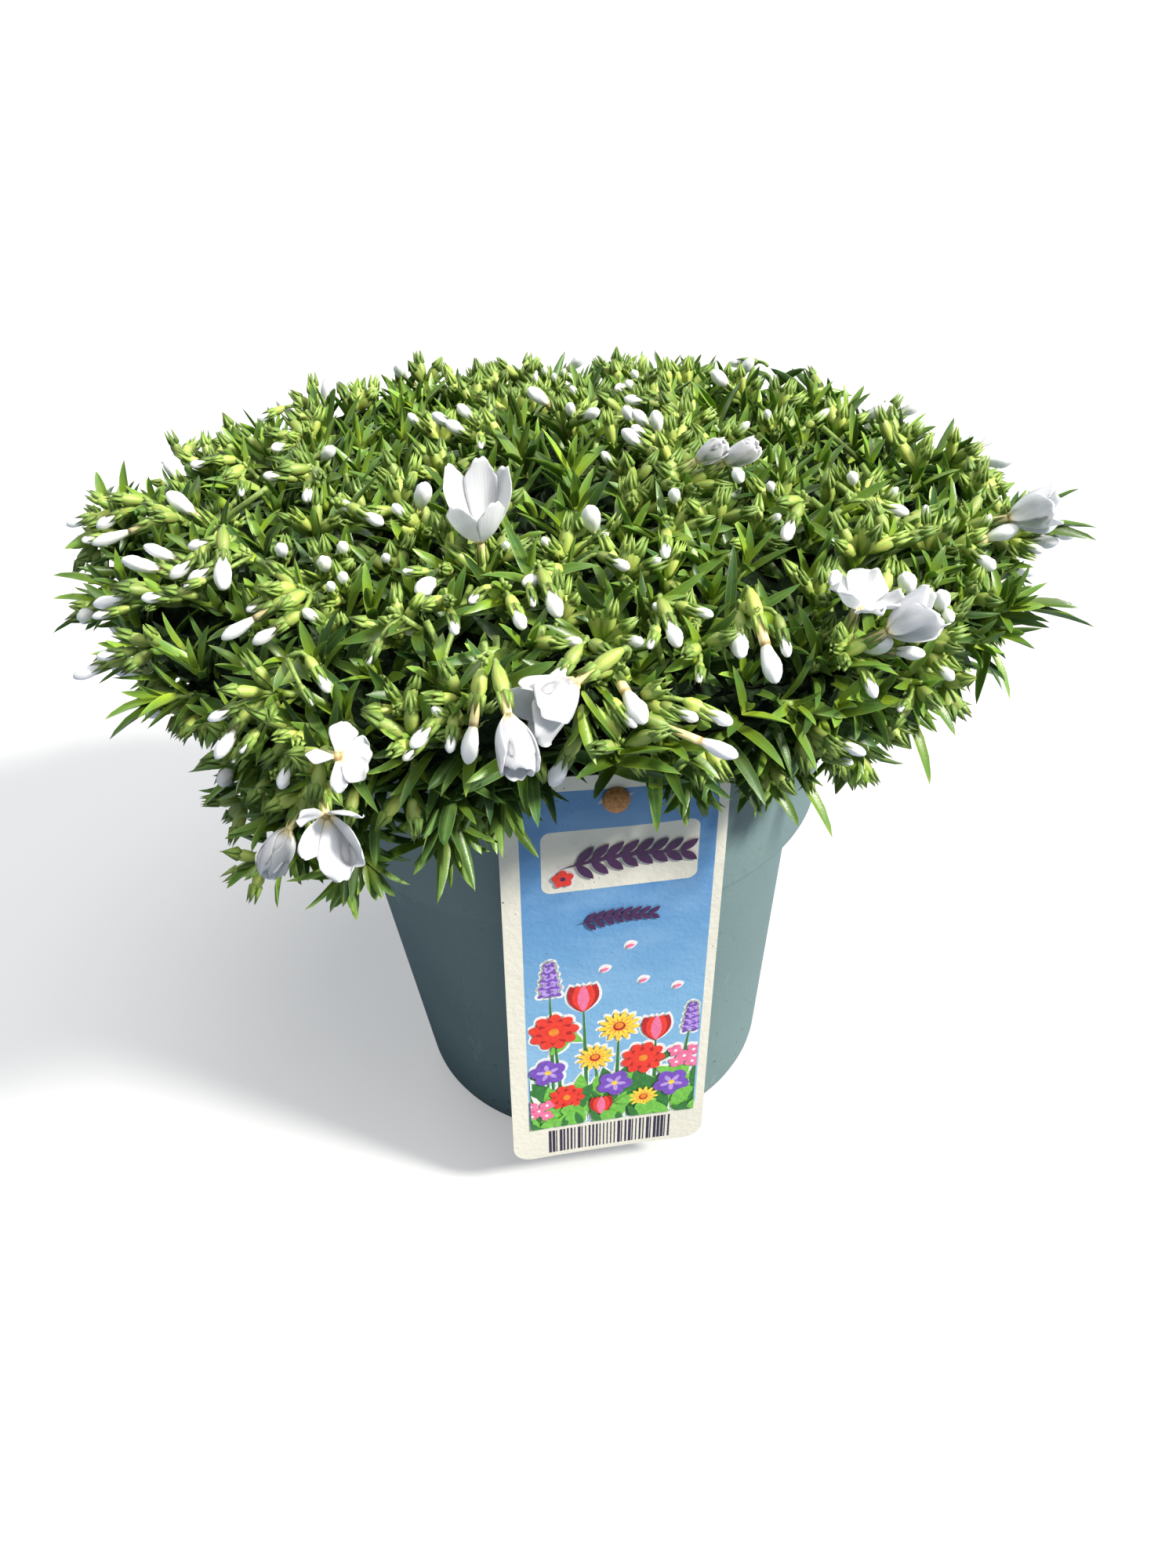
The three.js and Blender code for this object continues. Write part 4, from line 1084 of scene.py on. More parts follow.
def grow_strays(plan, wide, growth):
    """The long leaves that stand out of the outline, each from the stem nearest to its foot."""
    stems = stem_way(plan, [1, 4, 8, 12])[0].reshape(-1, 3)
    offset = stems - plan.eye.place
    feet, tips = [], []
    for foot_x, foot_y, tip_x, tip_y in STRAYS:
        ray = plan.eye.ray(foot_x, foot_y)
        reach = offset @ ray
        beside = np.linalg.norm(offset - reach[:, None] * ray, axis=1)
        foot = stems[np.argmin(beside + 0.03 * reach)]
        ray = plan.eye.ray(tip_x, tip_y)
        depth = (foot - plan.eye.place) @ plan.eye.forward
        feet.append(foot)
        tips.append(plan.eye.place + ray * depth / (ray @ plan.eye.forward))
    feet = np.array(feet)
    chord = np.array(tips) - feet
    heading = unit(chord)
    outward = unit(np.array([0, 0, -1.0]) - heading * -heading[:, 2:3] + 1e-6)
    count, (level, rise) = len(feet), (math.cos(STRAY_BOW), math.sin(STRAY_BOW))
    add_leaves(
        growth, keep_all, feet, heading * level - outward * rise, outward * level + heading * rise,
        long=np.minimum(np.linalg.norm(chord, axis=1), STRAY_LONGEST), wide=np.full(count, wide),
        roll=plan.random.normal(0, 0.5, count), tone=plan.random.random(count),
        **{key: np.full(count, value) for key, value in STRAY_LEAF.items()},
    )


def grow_clusters(plan, settings):
    """Green calyces in bunches at the shoot tips, on short stalks."""
    random = plan.random
    calyces, stems = Growth(), Growth()
    feet, headings, roots = [], [], []
    bearing_tips = plan.has_cluster & (plan.leafy > 0.55)
    for tip, axis in zip(plan.tips[bearing_tips], plan.axes[bearing_tips]):
        side, top = square_to(axis)
        count = random.integers(3, 7)
        start = random.uniform(0, 2 * np.pi)
        for number in range(count):
            turn = start + number * 2.4
            spread = math.radians(random.uniform(*((24, 64) if number else (6, 16))))
            outward = side * math.cos(turn) + top * math.sin(turn)
            heading = axis * math.cos(spread) + outward * math.sin(spread)
            roots.append(tip)
            feet.append(tip + unit(heading + axis) * random.uniform(1.2, 3.6))
            headings.append(heading)
    feet, headings, roots = np.array(feet), np.array(headings), np.array(roots)
    count = len(feet)
    long, radius = in_mm(settings, "calyx_length", "calyx_radius")
    long = long * random.uniform(0.72, 1.08, count)
    radius = radius * random.uniform(0.8, 1.08, count)
    splay = random.uniform(-0.34, 0.06, count)
    add_calyces(calyces, plan.keep_clear, feet, headings, long, radius, splay, random.random(count))
    ends = feet + headings * 0.5
    add_tubes(stems, roots, (roots + feet) / 2, ends, 0.55, corners=4, steps=3, tone=STALK_TONE)
    return calyces, stems


def grow_carriers(plan, calyces, stems, settings):
    """Calyx and stalk under every white bud and under every bloom."""
    long, radius = in_mm(settings, "calyx_length", "calyx_radius")
    buds = plan.buds
    heading = buds["heading"]
    deep = np.minimum(long * 0.85, 3.6 * buds["radius"])
    foot = buds["foot"] - heading * buds["tube"][:, None] - heading * deep[:, None]
    wide = np.minimum(radius, 0.85 * buds["radius"] + 0.3)
    add_calyces(calyces, keep_all, foot, heading, deep * 1.12, wide, 0.10, plan.random.random(len(foot)))
    knee, end = foot - heading * 2, foot + heading * 0.5
    add_tubes(stems, plan.tips[buds["holder"]], knee, end, 0.6, steps=4, tone=STALK_TONE)
    throats, axes, holders = (
        np.array([bloom[key] for bloom in plan.blooms.values()]) for key in ("throat", "axis", "holder")
    )
    foot = throats - axes * TUBE["length"] - axes * long * 0.45
    add_calyces(calyces, keep_all, foot, axes, long, radius, 0.02, plan.random.random(len(foot)))
    add_tubes(stems, plan.tips[holders], foot - axes * 3, foot + axes, 0.8, tone=STALK_TONE)


def grow_core(plan):
    """The dense middle of stems and dead leaves that the shoots stand in, coloured near black as painted
    shade of the mound's inside.
    """
    columns, rows = CORE["columns"], CORE["rows"]
    azimuths = np.linspace(-np.pi, np.pi, columns, endpoint=False)
    points = Mound.surface(azimuths, np.linspace(0.12, 5.75, rows))
    onward = np.roll(points, -1, 0) - np.roll(points, 1, 0)
    normal = unit(np.cross(np.gradient(points, axis=1), onward))
    depth = CORE["depth"] + plan.random.normal(0, 1.7, (columns, rows, 1))
    ring = (points - normal * depth).transpose(1, 0, 2)
    ring[-3:, :, 2] = np.maximum(ring[-3:, :, 2], POT_TOP + 3)
    neck = np.stack([polar(np.degrees(azimuths), radius, height) for radius, height in CORE["neck"]])
    ring = np.concatenate([ring, neck])[::-1]
    foot, tip = np.array([[0, 0, CORE["neck"][-1][1]]]), np.array([[0, 0, MOUND["top"] - CORE["depth"]]])
    core = Growth()
    core.add(closed(foot, ring, tip), columns, tone=0.5)
    return core


# ---------------- materials of the plant

PETAL_GLOW = (0.8, 0.85, 1.0)  # how far each colour goes inside a bud or a flower's tube


def leaf_surface(settings):
    look = Surface("Phlox leaf", Roughness=0.33, Specular_IOR_Level=0.38, Subsurface_Weight=0.08,
                   Subsurface_Scale=0.002, Subsurface_Radius=(0.4, 0.8, 0.2))
    along, age, edge, tone = map(look.value, ("along", "age", "edge", "tone"))
    young = look.ramp(along, (0.0, (0.52, 0.66, 0.13)), (0.28, settings.young_leaf),
                      (0.8, (0.17, 0.34, 0.07)), (1.0, (0.34, 0.48, 0.10)))
    old = look.ramp(along, (0.0, (0.28, 0.44, 0.09)), (0.3, settings.old_leaf), (1.0, (0.065, 0.165, 0.062)))
    base = look.cover(young, old, age, 0.15, 0.75)
    base = look.cover(base, rgba(settings.young_leaf, 0.55), look.noise(320, 2), 0.35, 0.7, 0.35)
    pale = look.rescale(edge, 0.78, 1.0, 0.0, 0.42)
    pale = look.math("MAXIMUM", pale, look.rescale(edge, 0.0, 0.12, 0.28, 0.0))
    base = look.mix(pale, base, (0.38, 0.52, 0.16, 1))
    base = look.cover(base, (0.27, 0.42, 0.14, 1), look.value("under"), 0.4, 1.0, 0.45)
    base = look.tinted(base, tone, (0.34, 1.10), (0.505, 0.49), 1.08)
    return look.finish(base, (0.25, 0.42), look.noise(2600, 2, roughness=0.6), 0.00015, 0.35)


def calyx_surface(settings):
    look = Surface("Phlox calyx", Roughness=0.48, Subsurface_Weight=0.12, Subsurface_Scale=0.002)
    along, rib, tone = map(look.value, ("along", "rib", "tone"))
    skin = look.ramp(along, (0.0, (0.38, 0.51, 0.10)), (0.45, settings.calyx), (0.85, (0.47, 0.58, 0.15)),
                     (1.0, (0.29, 0.42, 0.085)))
    ribs = look.ramp(along, (0.0, (0.31, 0.45, 0.08)), (0.6, (0.38, 0.53, 0.10)), (1.0, (0.24, 0.39, 0.07)))
    base = look.mix(look.rescale(rib, 0.35, 0.85, kind="SMOOTHSTEP"), skin, ribs)
    base = look.tinted(base, tone, (0.52, 1.06), (0.515, 0.492))
    return look.finish(base, (0.4, 0.6), look.noise(2200, 2), 0.0002, 0.4)


def stem_surface():
    look = Surface("Phlox stem", Roughness=0.5)
    streak = look.noise(900, 3)
    base = look.ramp(streak, (0.3, (0.16, 0.25, 0.05)), (0.7, (0.30, 0.41, 0.09)))
    return look.finish(base, None, streak, 0.0002, 0.4)


def core_shade_surface():
    look = Surface("Phlox inner growth and painted shade", Roughness=0.9, Specular_IOR_Level=0.15)
    strands = look.noise(420, 5, roughness=0.7)
    # Painted shade: near-black colours, darker than stems and dead leaves are, stand for the deep shade
    # inside the mound.
    base = look.ramp(strands, (0.3, (0.006, 0.012, 0.005)), (0.52, (0.016, 0.036, 0.012)),
                     (0.66, (0.03, 0.05, 0.018)), (0.8, (0.05, 0.045, 0.02)))
    return look.finish(base, None, strands, 0.003, 1.0)


def bud_surface(settings):
    look = Surface("Phlox bud", Roughness=0.46, Subsurface_Weight=0.5, Subsurface_Scale=0.005,
                   Subsurface_Radius=PETAL_GLOW)
    along, fold, tone = map(look.value, ("along", "fold", "tone"))
    base = look.ramp(along, (0.0, (0.66, 0.68, 0.32)), (0.14, (0.85, 0.85, 0.68)), (0.35, settings.white),
                     (1.0, settings.white))
    # Painted shade: a bluish grey tint laid into the folds where the rolled petals overlap.
    base = look.mix(look.math("MULTIPLY", fold, 0.28), base, rgba(settings.fold_shade_and_vein_tint))
    base = look.cover(base, (0.72, 0.78, 0.45, 1), tone, 0.72, 1.0, 0.30)
    return look.finish(base, (0.42, 0.6), look.noise(1500, 2), 0.00015, 0.3)


def tube_surface():
    look = Surface("Phlox flower tube", Roughness=0.5, Subsurface_Weight=0.15, Subsurface_Scale=0.003,
                   Subsurface_Radius=PETAL_GLOW)
    base = look.ramp(look.value("along"), (0.0, (0.50, 0.52, 0.15)), (0.45, (0.74, 0.60, 0.22)),
                     (0.88, (0.82, 0.70, 0.34)), (0.97, (0.40, 0.24, 0.07)))
    grain = look.noise(1500, 2)
    base = look.cover(base, (0.80, 0.72, 0.45, 1), grain, 0.3, 0.7, 0.3)
    return look.finish(base, None, grain, 0.0001, 0.3)


def petal_surface(settings):
    look = Surface("Phlox petal", Roughness=0.46, Subsurface_Weight=0.6, Subsurface_Scale=0.002,
                   Subsurface_Radius=(0.9, 0.92, 1.0))
    along, across, tone = map(look.value, ("along", "across", "tone"))
    white = rgba(settings.white, 0.76)
    lines = look.join(look.math("MULTIPLY", across, 9.0), look.math("MULTIPLY", along, 1.4), tone)
    veins = look.noise(1.6, 2, where=lines)
    base = look.cover(white, rgba(settings.fold_shade_and_vein_tint, 0.78), veins, 0.42, 0.68, 0.5)
    foot = look.rescale(along, 0.02, 0.26, 1.0, 0.0, "SMOOTHSTEP")
    base = look.mix(look.math("MULTIPLY", foot, 0.85), base, rgba(settings.throat))
    base = look.cover(base, white, along, 0.9, 1.0, 0.5)
    return look.finish(base, (0.4, 0.58), veins, 0.0003, 0.35)


# ---------------- blooms

PETAL_ROWS = 17
PETAL_COLUMNS = 13
BEND = 2.2  # how fast the petals turn from their angle at the foot to that at the rim


def petal_sheet(bloom, number, random):
    """Points of one petal's middle surface (rows, columns, 3) in the bloom's own frame: axis along Z."""
    long_share, extra, wide_share, shift = bloom["petals"][number]
    turn = math.radians(bloom["start"] + shift) + number * 2 * math.pi / PETALS + random.normal(0, 0.05)
    run = np.linspace(0, 1, PETAL_ROWS)[:, None]
    across = np.linspace(-1, 1, PETAL_COLUMNS)[None, :]
    long = bloom["petal"] * long_share
    outline = np.interp(run, [0, 0.12, 0.35, 0.6, 0.8, 0.92, 1], [0.2, 0.32, 0.66, 0.94, 1.0, 0.88, 0.6])
    half = long * bloom["width"] * wide_share / 2 * outline
    notch = 0.035 * np.exp(-(((across - 0.1) / 0.2) ** 2))
    reach = run * (1 - (0.15 * np.abs(across) ** 2.4 + notch) * run**2)
    side = half * across
    base, rim = (math.radians(angle + extra) for angle in bloom["open"])
    angle = np.clip(reach / 0.12, 0, 1) * (rim + (base - rim) * (1 - reach) ** BEND)
    step = np.diff(reach, axis=0, prepend=0) * long
    radial = TUBE["radius"] * 0.5 + np.cumsum(step * np.sin(angle), 0)
    height = np.cumsum(step * np.cos(angle), 0)
    level = np.clip(1 - (rim + (base - rim) / (1 + BEND)) / (0.5 * math.pi), 0, 1)
    round_axis = np.maximum(radial, np.maximum(0.22 * long, half / 1.25))
    wrap = side / round_axis
    hollow = (1 - level) * side**2 / (2.5 * long)
    ripple = bloom["wave"] * 0.5 * run**1.4 * (
        np.sin(across * 4.6 + random.uniform(0, 6))
        + 0.7 * np.sin(run * 8 + across * 3.2 + random.uniform(0, 6))
    )
    overlap = 0.45 * across * (0.3 + 0.7 * run)
    lift = hollow + ripple + overlap
    radial = radial - lift * np.cos(angle) - level * round_axis * (1 - np.cos(wrap))
    height = height + lift * np.sin(angle)
    side = (1 - level) * side + level * round_axis * np.sin(wrap)
    turned = np.array([[math.cos(turn), math.sin(turn), 0], [-math.sin(turn), math.cos(turn), 0], [0, 0, 1]])
    return np.stack([radial, side, height], -1) @ turned, run + 0 * across, across + 0 * run


def sheet_faces(rows, columns):
    """Faces of a thin closed sheet: the upper points, then as many lower points."""
    number = np.arange(rows * columns).reshape(rows, columns)
    upper = np.stack([number[:-1, :-1], number[:-1, 1:], number[1:, 1:], number[1:, :-1]], -1).reshape(-1, 4)
    lower = upper[:, ::-1] + rows * columns
    edge = np.concatenate([number[0, :], number[1:, -1], number[-1, -2::-1], number[-2:0:-1, 0]])
    onward = np.roll(edge, -1)
    rim = np.stack([onward, edge, edge + rows * columns, onward + rows * columns], -1)
    return [np.empty((0, 3), int), np.vstack([upper, lower, rim])]


def grow_bloom(bloom, upward, settings, random):
    """Five petals round a throat, each a thin closed sheet, on a tube; upward is where turn 0 points."""
    throat, axis = bloom["throat"], bloom["axis"]
    side = unit(upward - axis * (upward @ axis))
    basis = np.stack([side, np.cross(axis, side), axis])
    petals, tube = Growth(), Growth()
    for number in range(PETALS):
        middle, run, across = petal_sheet(bloom, number, random)
        normal = unit(np.cross(np.gradient(middle, axis=1), np.gradient(middle, axis=0)))
        thin = settings.petal_thickness / MM / 2 * (0.35 + 0.65 * (1 - np.abs(across) ** 4) * (1 - run**6))
        off = normal * thin[..., None]
        both = np.concatenate([(middle + off).reshape(-1, 3), (middle - off).reshape(-1, 3)])
        along, across = (np.tile(values.ravel(), 2)[None] for values in (run, across))
        faces = sheet_faces(PETAL_ROWS, PETAL_COLUMNS)
        petals.add((both @ basis + throat)[None], faces, along=along, across=across, tone=float(number))
    root = throat - axis * TUBE["length"]
    flare = throat + axis * 0.6
    knee = (root + flare)[None] / 2
    add_tubes(tube, root[None], knee, flare[None], TUBE["radius"], corners=14, steps=12, taper=0.62)
    return petals, tube


# ---------------- pot, soil, label and peg

def lathe(section, corners):
    """A closed turned body from (radius, height) pairs that start and end on the axis."""
    azimuth = np.arange(corners) * 360 / corners
    rings = np.stack([polar(azimuth, radius, height) for radius, height in section[1:-1]])
    foot, tip = (np.array([[0, 0, section[end][1]]], float) for end in (0, -1))
    return closed(foot, rings, tip), corners


def rounded(section, radius, steps=4):
    """Rounds the corners of a section; radius gives a bend for each inner point."""
    points = [np.array(section[0], float)]
    for number in range(1, len(section) - 1):
        before, here, after = (np.array(section[number + step], float) for step in (-1, 0, 1))
        reach = min(radius[number], 0.45 * np.linalg.norm(before - here), 0.45 * np.linalg.norm(after - here))
        if reach <= 0:
            points.append(here)
            continue
        first, last = here + unit(before - here) * reach, here + unit(after - here) * reach
        points += [bezier(first, here, last, share) for share in np.linspace(0, 1, steps)]
    return points + [np.array(section[-1], float)]


def one_body(points, faces, **values):
    growth = Growth()
    growth.add(points, faces, **values)
    return growth


def cut_holes(piece, cutters, sharp_degrees):
    """Cuts closed meshes out of a piece and removes them, and shades it smooth but for its sharp edges."""
    for cutter in cutters:
        modifier = piece.modifiers.new("hole", "BOOLEAN")
        modifier.operation = "DIFFERENCE"
        modifier.solver = "EXACT"
        modifier.object = cutter
    graph = bpy.context.evaluated_depsgraph_get()
    cut = bpy.data.meshes.new_from_object(piece.evaluated_get(graph))
    piece.modifiers.clear()
    piece.data = cut
    for cutter in cutters:
        bpy.data.objects.remove(cutter)
    cut.shade_smooth()
    cut.set_sharp_from_angle(angle=math.radians(sharp_degrees))


def cylinder(middle, axis, radius, long, corners=32):
    """A plain closed cylinder to cut with."""
    ends = np.stack([middle - axis * long / 2, middle + axis * long / 2])[None]
    outline = round_outline(np.full(2, radius), corners)
    points = skin_points(ends[:, 0], ends, *square_to(axis[None]), outline, ends[:, 1])
    return link_object("cutter", one_body(points, corners).mesh("cutter"))


PEG_BORE = {"radius": 1.9, "length": 9}


def make_pot(settings):
    part = POT_SECTION
    rim, tall = in_mm(settings, "rim_radius", "height")
    foot, base, wall_top, band, wall = (
        part[name] for name in ("foot_radius", "base_radius", "wall_top_radius", "band_radius", "wall")
    )
    shelf = part["band_bottom"] + wall
    section = [
        (0, 0.8), (foot - 7, 0.8), (foot - 5, 0), (foot, 0), (base, part["foot_height"]),
        (wall_top, part["band_bottom"]), (band, part["band_bottom"]), (rim, tall), (rim - wall, tall),
        (band - wall, shelf), (wall_top - wall, shelf), (base - wall, part["foot_height"] + 1),
        (foot - 1, part["floor"]), (0, part["floor"]),
    ]
    bends = [0, 0, 0.6, 2.2, 3, 1.2, 1.4, 0.8, 0.8, 0.8, 0.8, 3, 2, 0]
    body = one_body(*lathe(rounded(section, bends), 180))
    pot = place_piece("pot_moulding", [body], [pot_surface(settings)], "pot", "pot")
    azimuths = (np.arange(DRAINS["count"]) + 0.5) * 360 / DRAINS["count"]
    drains, up = polar(azimuths, DRAINS["circle"], 1), np.array([0, 0, 1.0])
    cutters = [cylinder(middle, up, DRAINS["radius"], 12) for middle in drains]
    cutters.append(cylinder(LABEL_HOLE, LABEL_AXES[:, 2], PEG_BORE["radius"], PEG_BORE["length"]))
    cut_holes(pot, cutters, 38)


def pot_surface(settings):
    look = Surface("Pot plastic", Roughness=0.5)
    broad = look.noise(22, 4, roughness=0.6)
    fine = look.noise(900, 3)
    plastic = settings.plastic
    base = look.cover(rgba(plastic), rgba(plastic, 1.35), broad, 0.35, 0.7, 0.3)
    base = look.cover(base, rgba(plastic, 0.6), fine, 0.35, 0.7, 0.12)
    scuff = look.noise(60, 6, stretch=(1, 1, 0.25), roughness=0.75)
    base = look.cover(base, (0.55, 0.62, 0.6, 1), scuff, 0.60, 0.72, 0.34)
    height = add_node(look.tree, "SeparateXYZ", {"Vector": look.position()}).outputs["Z"]
    specks = look.rescale(look.cells(160.0), 0.06, 0.13, 0.8, 0.0)
    dirt = look.math("MULTIPLY", specks, look.rescale(height, 0.0, 0.05, 1.0, 0.25))
    base = look.mix(dirt, base, (0.045, 0.04, 0.03, 1))
    relief = look.math("ADD", look.math("MULTIPLY", fine, 0.25), broad)
    return look.finish(base, look.rescale(broad, 0.3, 0.75, 0.40, 0.58), relief, 0.0012, 0.35)


def make_soil(settings):
    """Soil up to just under the rim, with a crumbly top."""
    random = np.random.default_rng(7)
    part = POT_SECTION
    gap, wall = 0.35, part["wall"]
    shelf = part["band_bottom"] + wall + gap
    section = [
        (0, part["floor"] + gap), (part["foot_radius"] - 1.5, part["floor"] + gap),
        (part["base_radius"] - wall - gap, part["foot_height"] + 2),
        (part["wall_top_radius"] - wall - gap, shelf), (part["band_radius"] - wall - gap, shelf),
        (part["band_radius"] + 0.6 - wall - gap, SOIL_TOP - 1),
    ]
    rings = [(radius, SOIL_TOP) for radius in np.linspace(73, 4, 26)]
    points, faces = lathe([*section, *rings, (0, SOIL_TOP)], 110)
    on_top = points[0, :, 2] >= SOIL_TOP - 0.01
    points[0, on_top, 2] += random.normal(0, settings.crumb / MM * 0.22, on_top.sum()) - 0.5
    place_piece("soil_mix", [one_body(points, faces)], [soil_surface(settings)], "soil", "soil")


def soil_surface(settings):
    look = Surface("Potting soil", Roughness=0.9)
    fibres = look.noise(500, 5, stretch=(1, 0.2, 1), roughness=0.7)
    base = look.ramp(fibres, (0.35, settings.soil), (0.6, (0.07, 0.045, 0.028)), (0.75, (0.14, 0.10, 0.06)))
    return look.finish(base, None, look.math("ADD", look.cells(420.0), fibres), 0.002, 0.9)


def label_points(across, along, lift, settings):
    """Places on the label: across and along count from the hole, lift out of the bent card's front."""
    top, foot = smooth(along, -25, 9), smooth(-along, 95, 133)
    wave = top * (np.sin(across / 8.5 + 0.6) - 0.2) + 0.9 * foot * (across / 30) ** 2
    out = lift + (settings.wave / MM * wave + 0.25)
    return np.stack([across, along, out], -1) @ LABEL_AXES.T + LABEL_HOLE


LABEL_COLUMNS = 25
CARD_UNIT = 100  # the card's places in its material count in tenths of a metre


def make_label(settings):
    wide, tall, corner, thick = in_mm(settings, "width", "height", "corner", "thickness")
    top = LABEL["hole_below_top"]
    foot = top - tall
    bow = corner * (1 - np.sin(np.linspace(0, np.pi / 2, 8)))
    rows = np.concatenate([top - bow[::-1], np.linspace(top - corner, foot + corner, 44)[1:-1], foot + bow])
    beyond = np.maximum(0, np.abs(rows - (top - tall / 2)) - (tall / 2 - corner))
    half = wide / 2 - corner + np.sqrt(np.maximum(0, corner**2 - beyond**2))
    across = np.linspace(-1, 1, LABEL_COLUMNS)[None] * half[:, None]
    along = np.broadcast_to(rows[:, None], across.shape)
    sides = [label_points(across, along, lift, settings).reshape(-1, 3) for lift in (thick, 0)]
    none, faces = sheet_faces(len(rows), LABEL_COLUMNS)
    places = {"card_x": across, "card_y": along}
    card = one_body(
        np.concatenate(sides)[None], [none, faces[:, ::-1]], front=np.repeat([1.0, 0.0], across.size)[None],
        **{key: np.tile(values.ravel(), 2)[None] / CARD_UNIT for key, values in places.items()},
    )
    label = place_piece("label_card", [card], [card_surface(settings)], "label", "label")
    cut_holes(label, [cylinder(LABEL_HOLE, LABEL_AXES[:, 2], LABEL["hole_radius"], 8)], 40)


def inside_box(look, x, y, left, right, low, high, radius):
    """1 inside a rounded box on the card and 0 outside; sizes in millimetres from the hole."""
    bend = radius / CARD_UNIT
    square = []
    for place, start, end in ((x, left, right), (y, low, high)):
        offset = look.math("ABSOLUTE", look.math("SUBTRACT", place, (start + end) / 2 / CARD_UNIT))
        away = look.math("MAXIMUM", look.math("SUBTRACT", offset, (end - start) / 2 / CARD_UNIT - bend), 0.0)
        square.append(look.math("POWER", away, 2.0))
    distance = look.math("SQRT", look.math("ADD", *square))
    return look.rescale(distance, bend - 0.0006, bend + 0.0006, 1.0, 0.0)


def card_surface(settings):
    """Bare card with a sky panel, an empty title panel and specks of dirt."""
    look = Surface("Label card", Roughness=0.38, Coat_Weight=0.15)
    x, y, front = map(look.value, ("card_x", "card_y", "front"))
    wide, tall = in_mm(settings, "width", "height")
    half, top = wide / 2, LABEL["hole_below_top"]
    foot = top - tall
    grime = look.noise(70, 5, roughness=0.7)
    border = settings.border
    bare = look.cover(rgba(border), rgba(border, 0.78), grime, 0.45, 0.8, 0.3)
    rise = look.rescale(y, foot / CARD_UNIT, top / CARD_UNIT)
    sky = look.ramp(rise, (0.0, (0.31, 0.54, 0.76)), (0.4, (0.21, 0.44, 0.68)), (0.75, settings.sky),
                    (1.0, (0.072, 0.23, 0.48)))
    cloud = look.noise(45, 4, stretch=(1, 1, 2.2))
    sky = look.cover(sky, (0.42, 0.62, 0.83, 1), cloud, 0.45, 0.7, 0.22)
    panel = inside_box(look, x, y, -half + PANEL["left"], half - PANEL["right"], foot + PANEL["bottom"],
                       top - PANEL["top"], PANEL["radius"])
    base = look.mix(look.math("MULTIPLY", panel, front), bare, sky)
    left, high = -half + TITLE_PANEL["left"], top - TITLE_PANEL["top"]
    title = inside_box(look, x, y, left, left + TITLE_PANEL["width"], high - TITLE_PANEL["height"], high,
                       TITLE_PANEL["radius"])
    base = look.mix(look.math("MULTIPLY", title, front), base, bare)
    away = add_node(look.tree, "VectorMath", {0: look.join(x, y), 1: (-0.13, 0.0, 0.0)}, operation="DISTANCE")
    near = look.rescale(away.outputs["Value"], 0.02, 0.10, 0.07, 0.0)
    dirt = look.rescale(look.math("ADD", look.noise(1300, 2), near), 0.735, 0.76, 0.0, 0.85)
    base = look.mix(look.math("MULTIPLY", dirt, front), base, (0.03, 0.035, 0.04, 1))
    relief = look.math("ADD", look.noise(700, 3), look.math("MULTIPLY", grime, 2.0))
    return look.finish(base, look.rescale(grime, 0.3, 0.7, 0.3, 0.5), relief, 0.0003, 0.4)


def make_peg(settings):
    """Peg with a domed head, turned on its axis and set through the label's hole."""
    radius = settings.peg_radius / MM
    stalk = [(0, -5.5), (1.2, -5.5), (1.6, -4.9), (1.6, 0.95)]
    head = [(radius - 0.5, 0.95), (radius, 1.4), (radius, 2.0)]
    turns = np.linspace(0.1, math.pi / 2 - 0.05, 12)
    dome = [(radius * math.cos(turn), 2.0 + 2.6 * math.sin(turn)) for turn in turns]
    points, faces = lathe([*stalk, *head, *dome, (0, 4.6)], 48)
    rough = points[0, :, 2] > 1.5
    points[0, rough] += np.random.default_rng(3).normal(0, 0.02, (rough.sum(), 3))
    body = one_body((points @ LABEL_AXES.T) + LABEL_HOLE, faces)
    peg = place_piece("peg_head", [body], [peg_surface(settings)], "peg", "peg")
    peg.data.set_sharp_from_angle(angle=math.radians(50))


def peg_surface(settings):
    look = Surface("Peg", Roughness=0.55)
    mottle = look.noise(1100, 5, roughness=0.7)
    base = look.ramp(mottle, (0.32, (0.36, 0.12, 0.03)), (0.5, settings.peg), (0.72, (0.82, 0.48, 0.20)))
    return look.finish(base, (0.42, 0.65), mottle, 0.0004, 0.5)


# ---------------- the printed flower bed

INKS = {
    "red": (0.78, 0.04, 0.02),
    "dark_red": (0.42, 0.012, 0.012),
    "purple": (0.17, 0.07, 0.42),
    "lilac": (0.42, 0.28, 0.66),
    "pink": (0.80, 0.16, 0.30),
    "yellow": (0.88, 0.56, 0.05),
    "orange": (0.80, 0.24, 0.02),
    "white": (0.80, 0.80, 0.78),
    "dark_green": (0.035, 0.17, 0.035),
    "green": (0.16, 0.46, 0.06),
    "plum": (0.06, 0.015, 0.07),
    "ink": (0.03, 0.02, 0.05),
}
BED = {"left": -24.0, "right": 26.4, "foot": -123.9}
WHITE_EDGE = 0.9
# Flowers of the bed: kind, place across and along from the hole, radius; the first are at the back.
BED_FLOWERS = [
    ("spike", -17.5, -62, 3.4), ("spike", 24, -84, 3.0), ("tulip", -8, -70, 5.6),
    ("rosette", -16.5, -82, 7.4), ("daisy", 2.5, -83, 6.2), ("tulip", 13.5, -86, 5.4),
    ("daisy", -4.5, -95, 5.4), ("rosette", 10, -98, 6.8), ("five", -18.5, -99, 5.6),
    ("bell", 22.5, -99, 4.6), ("five", 1.5, -107.5, 5.6), ("rosette", -13, -111, 5.6),
    ("five", 19, -110.5, 5.8), ("bell", -21.5, -115, 4.2), ("daisy", 10.5, -115.5, 4.6),
    ("tulip", -2.5, -117, 4.4),
]
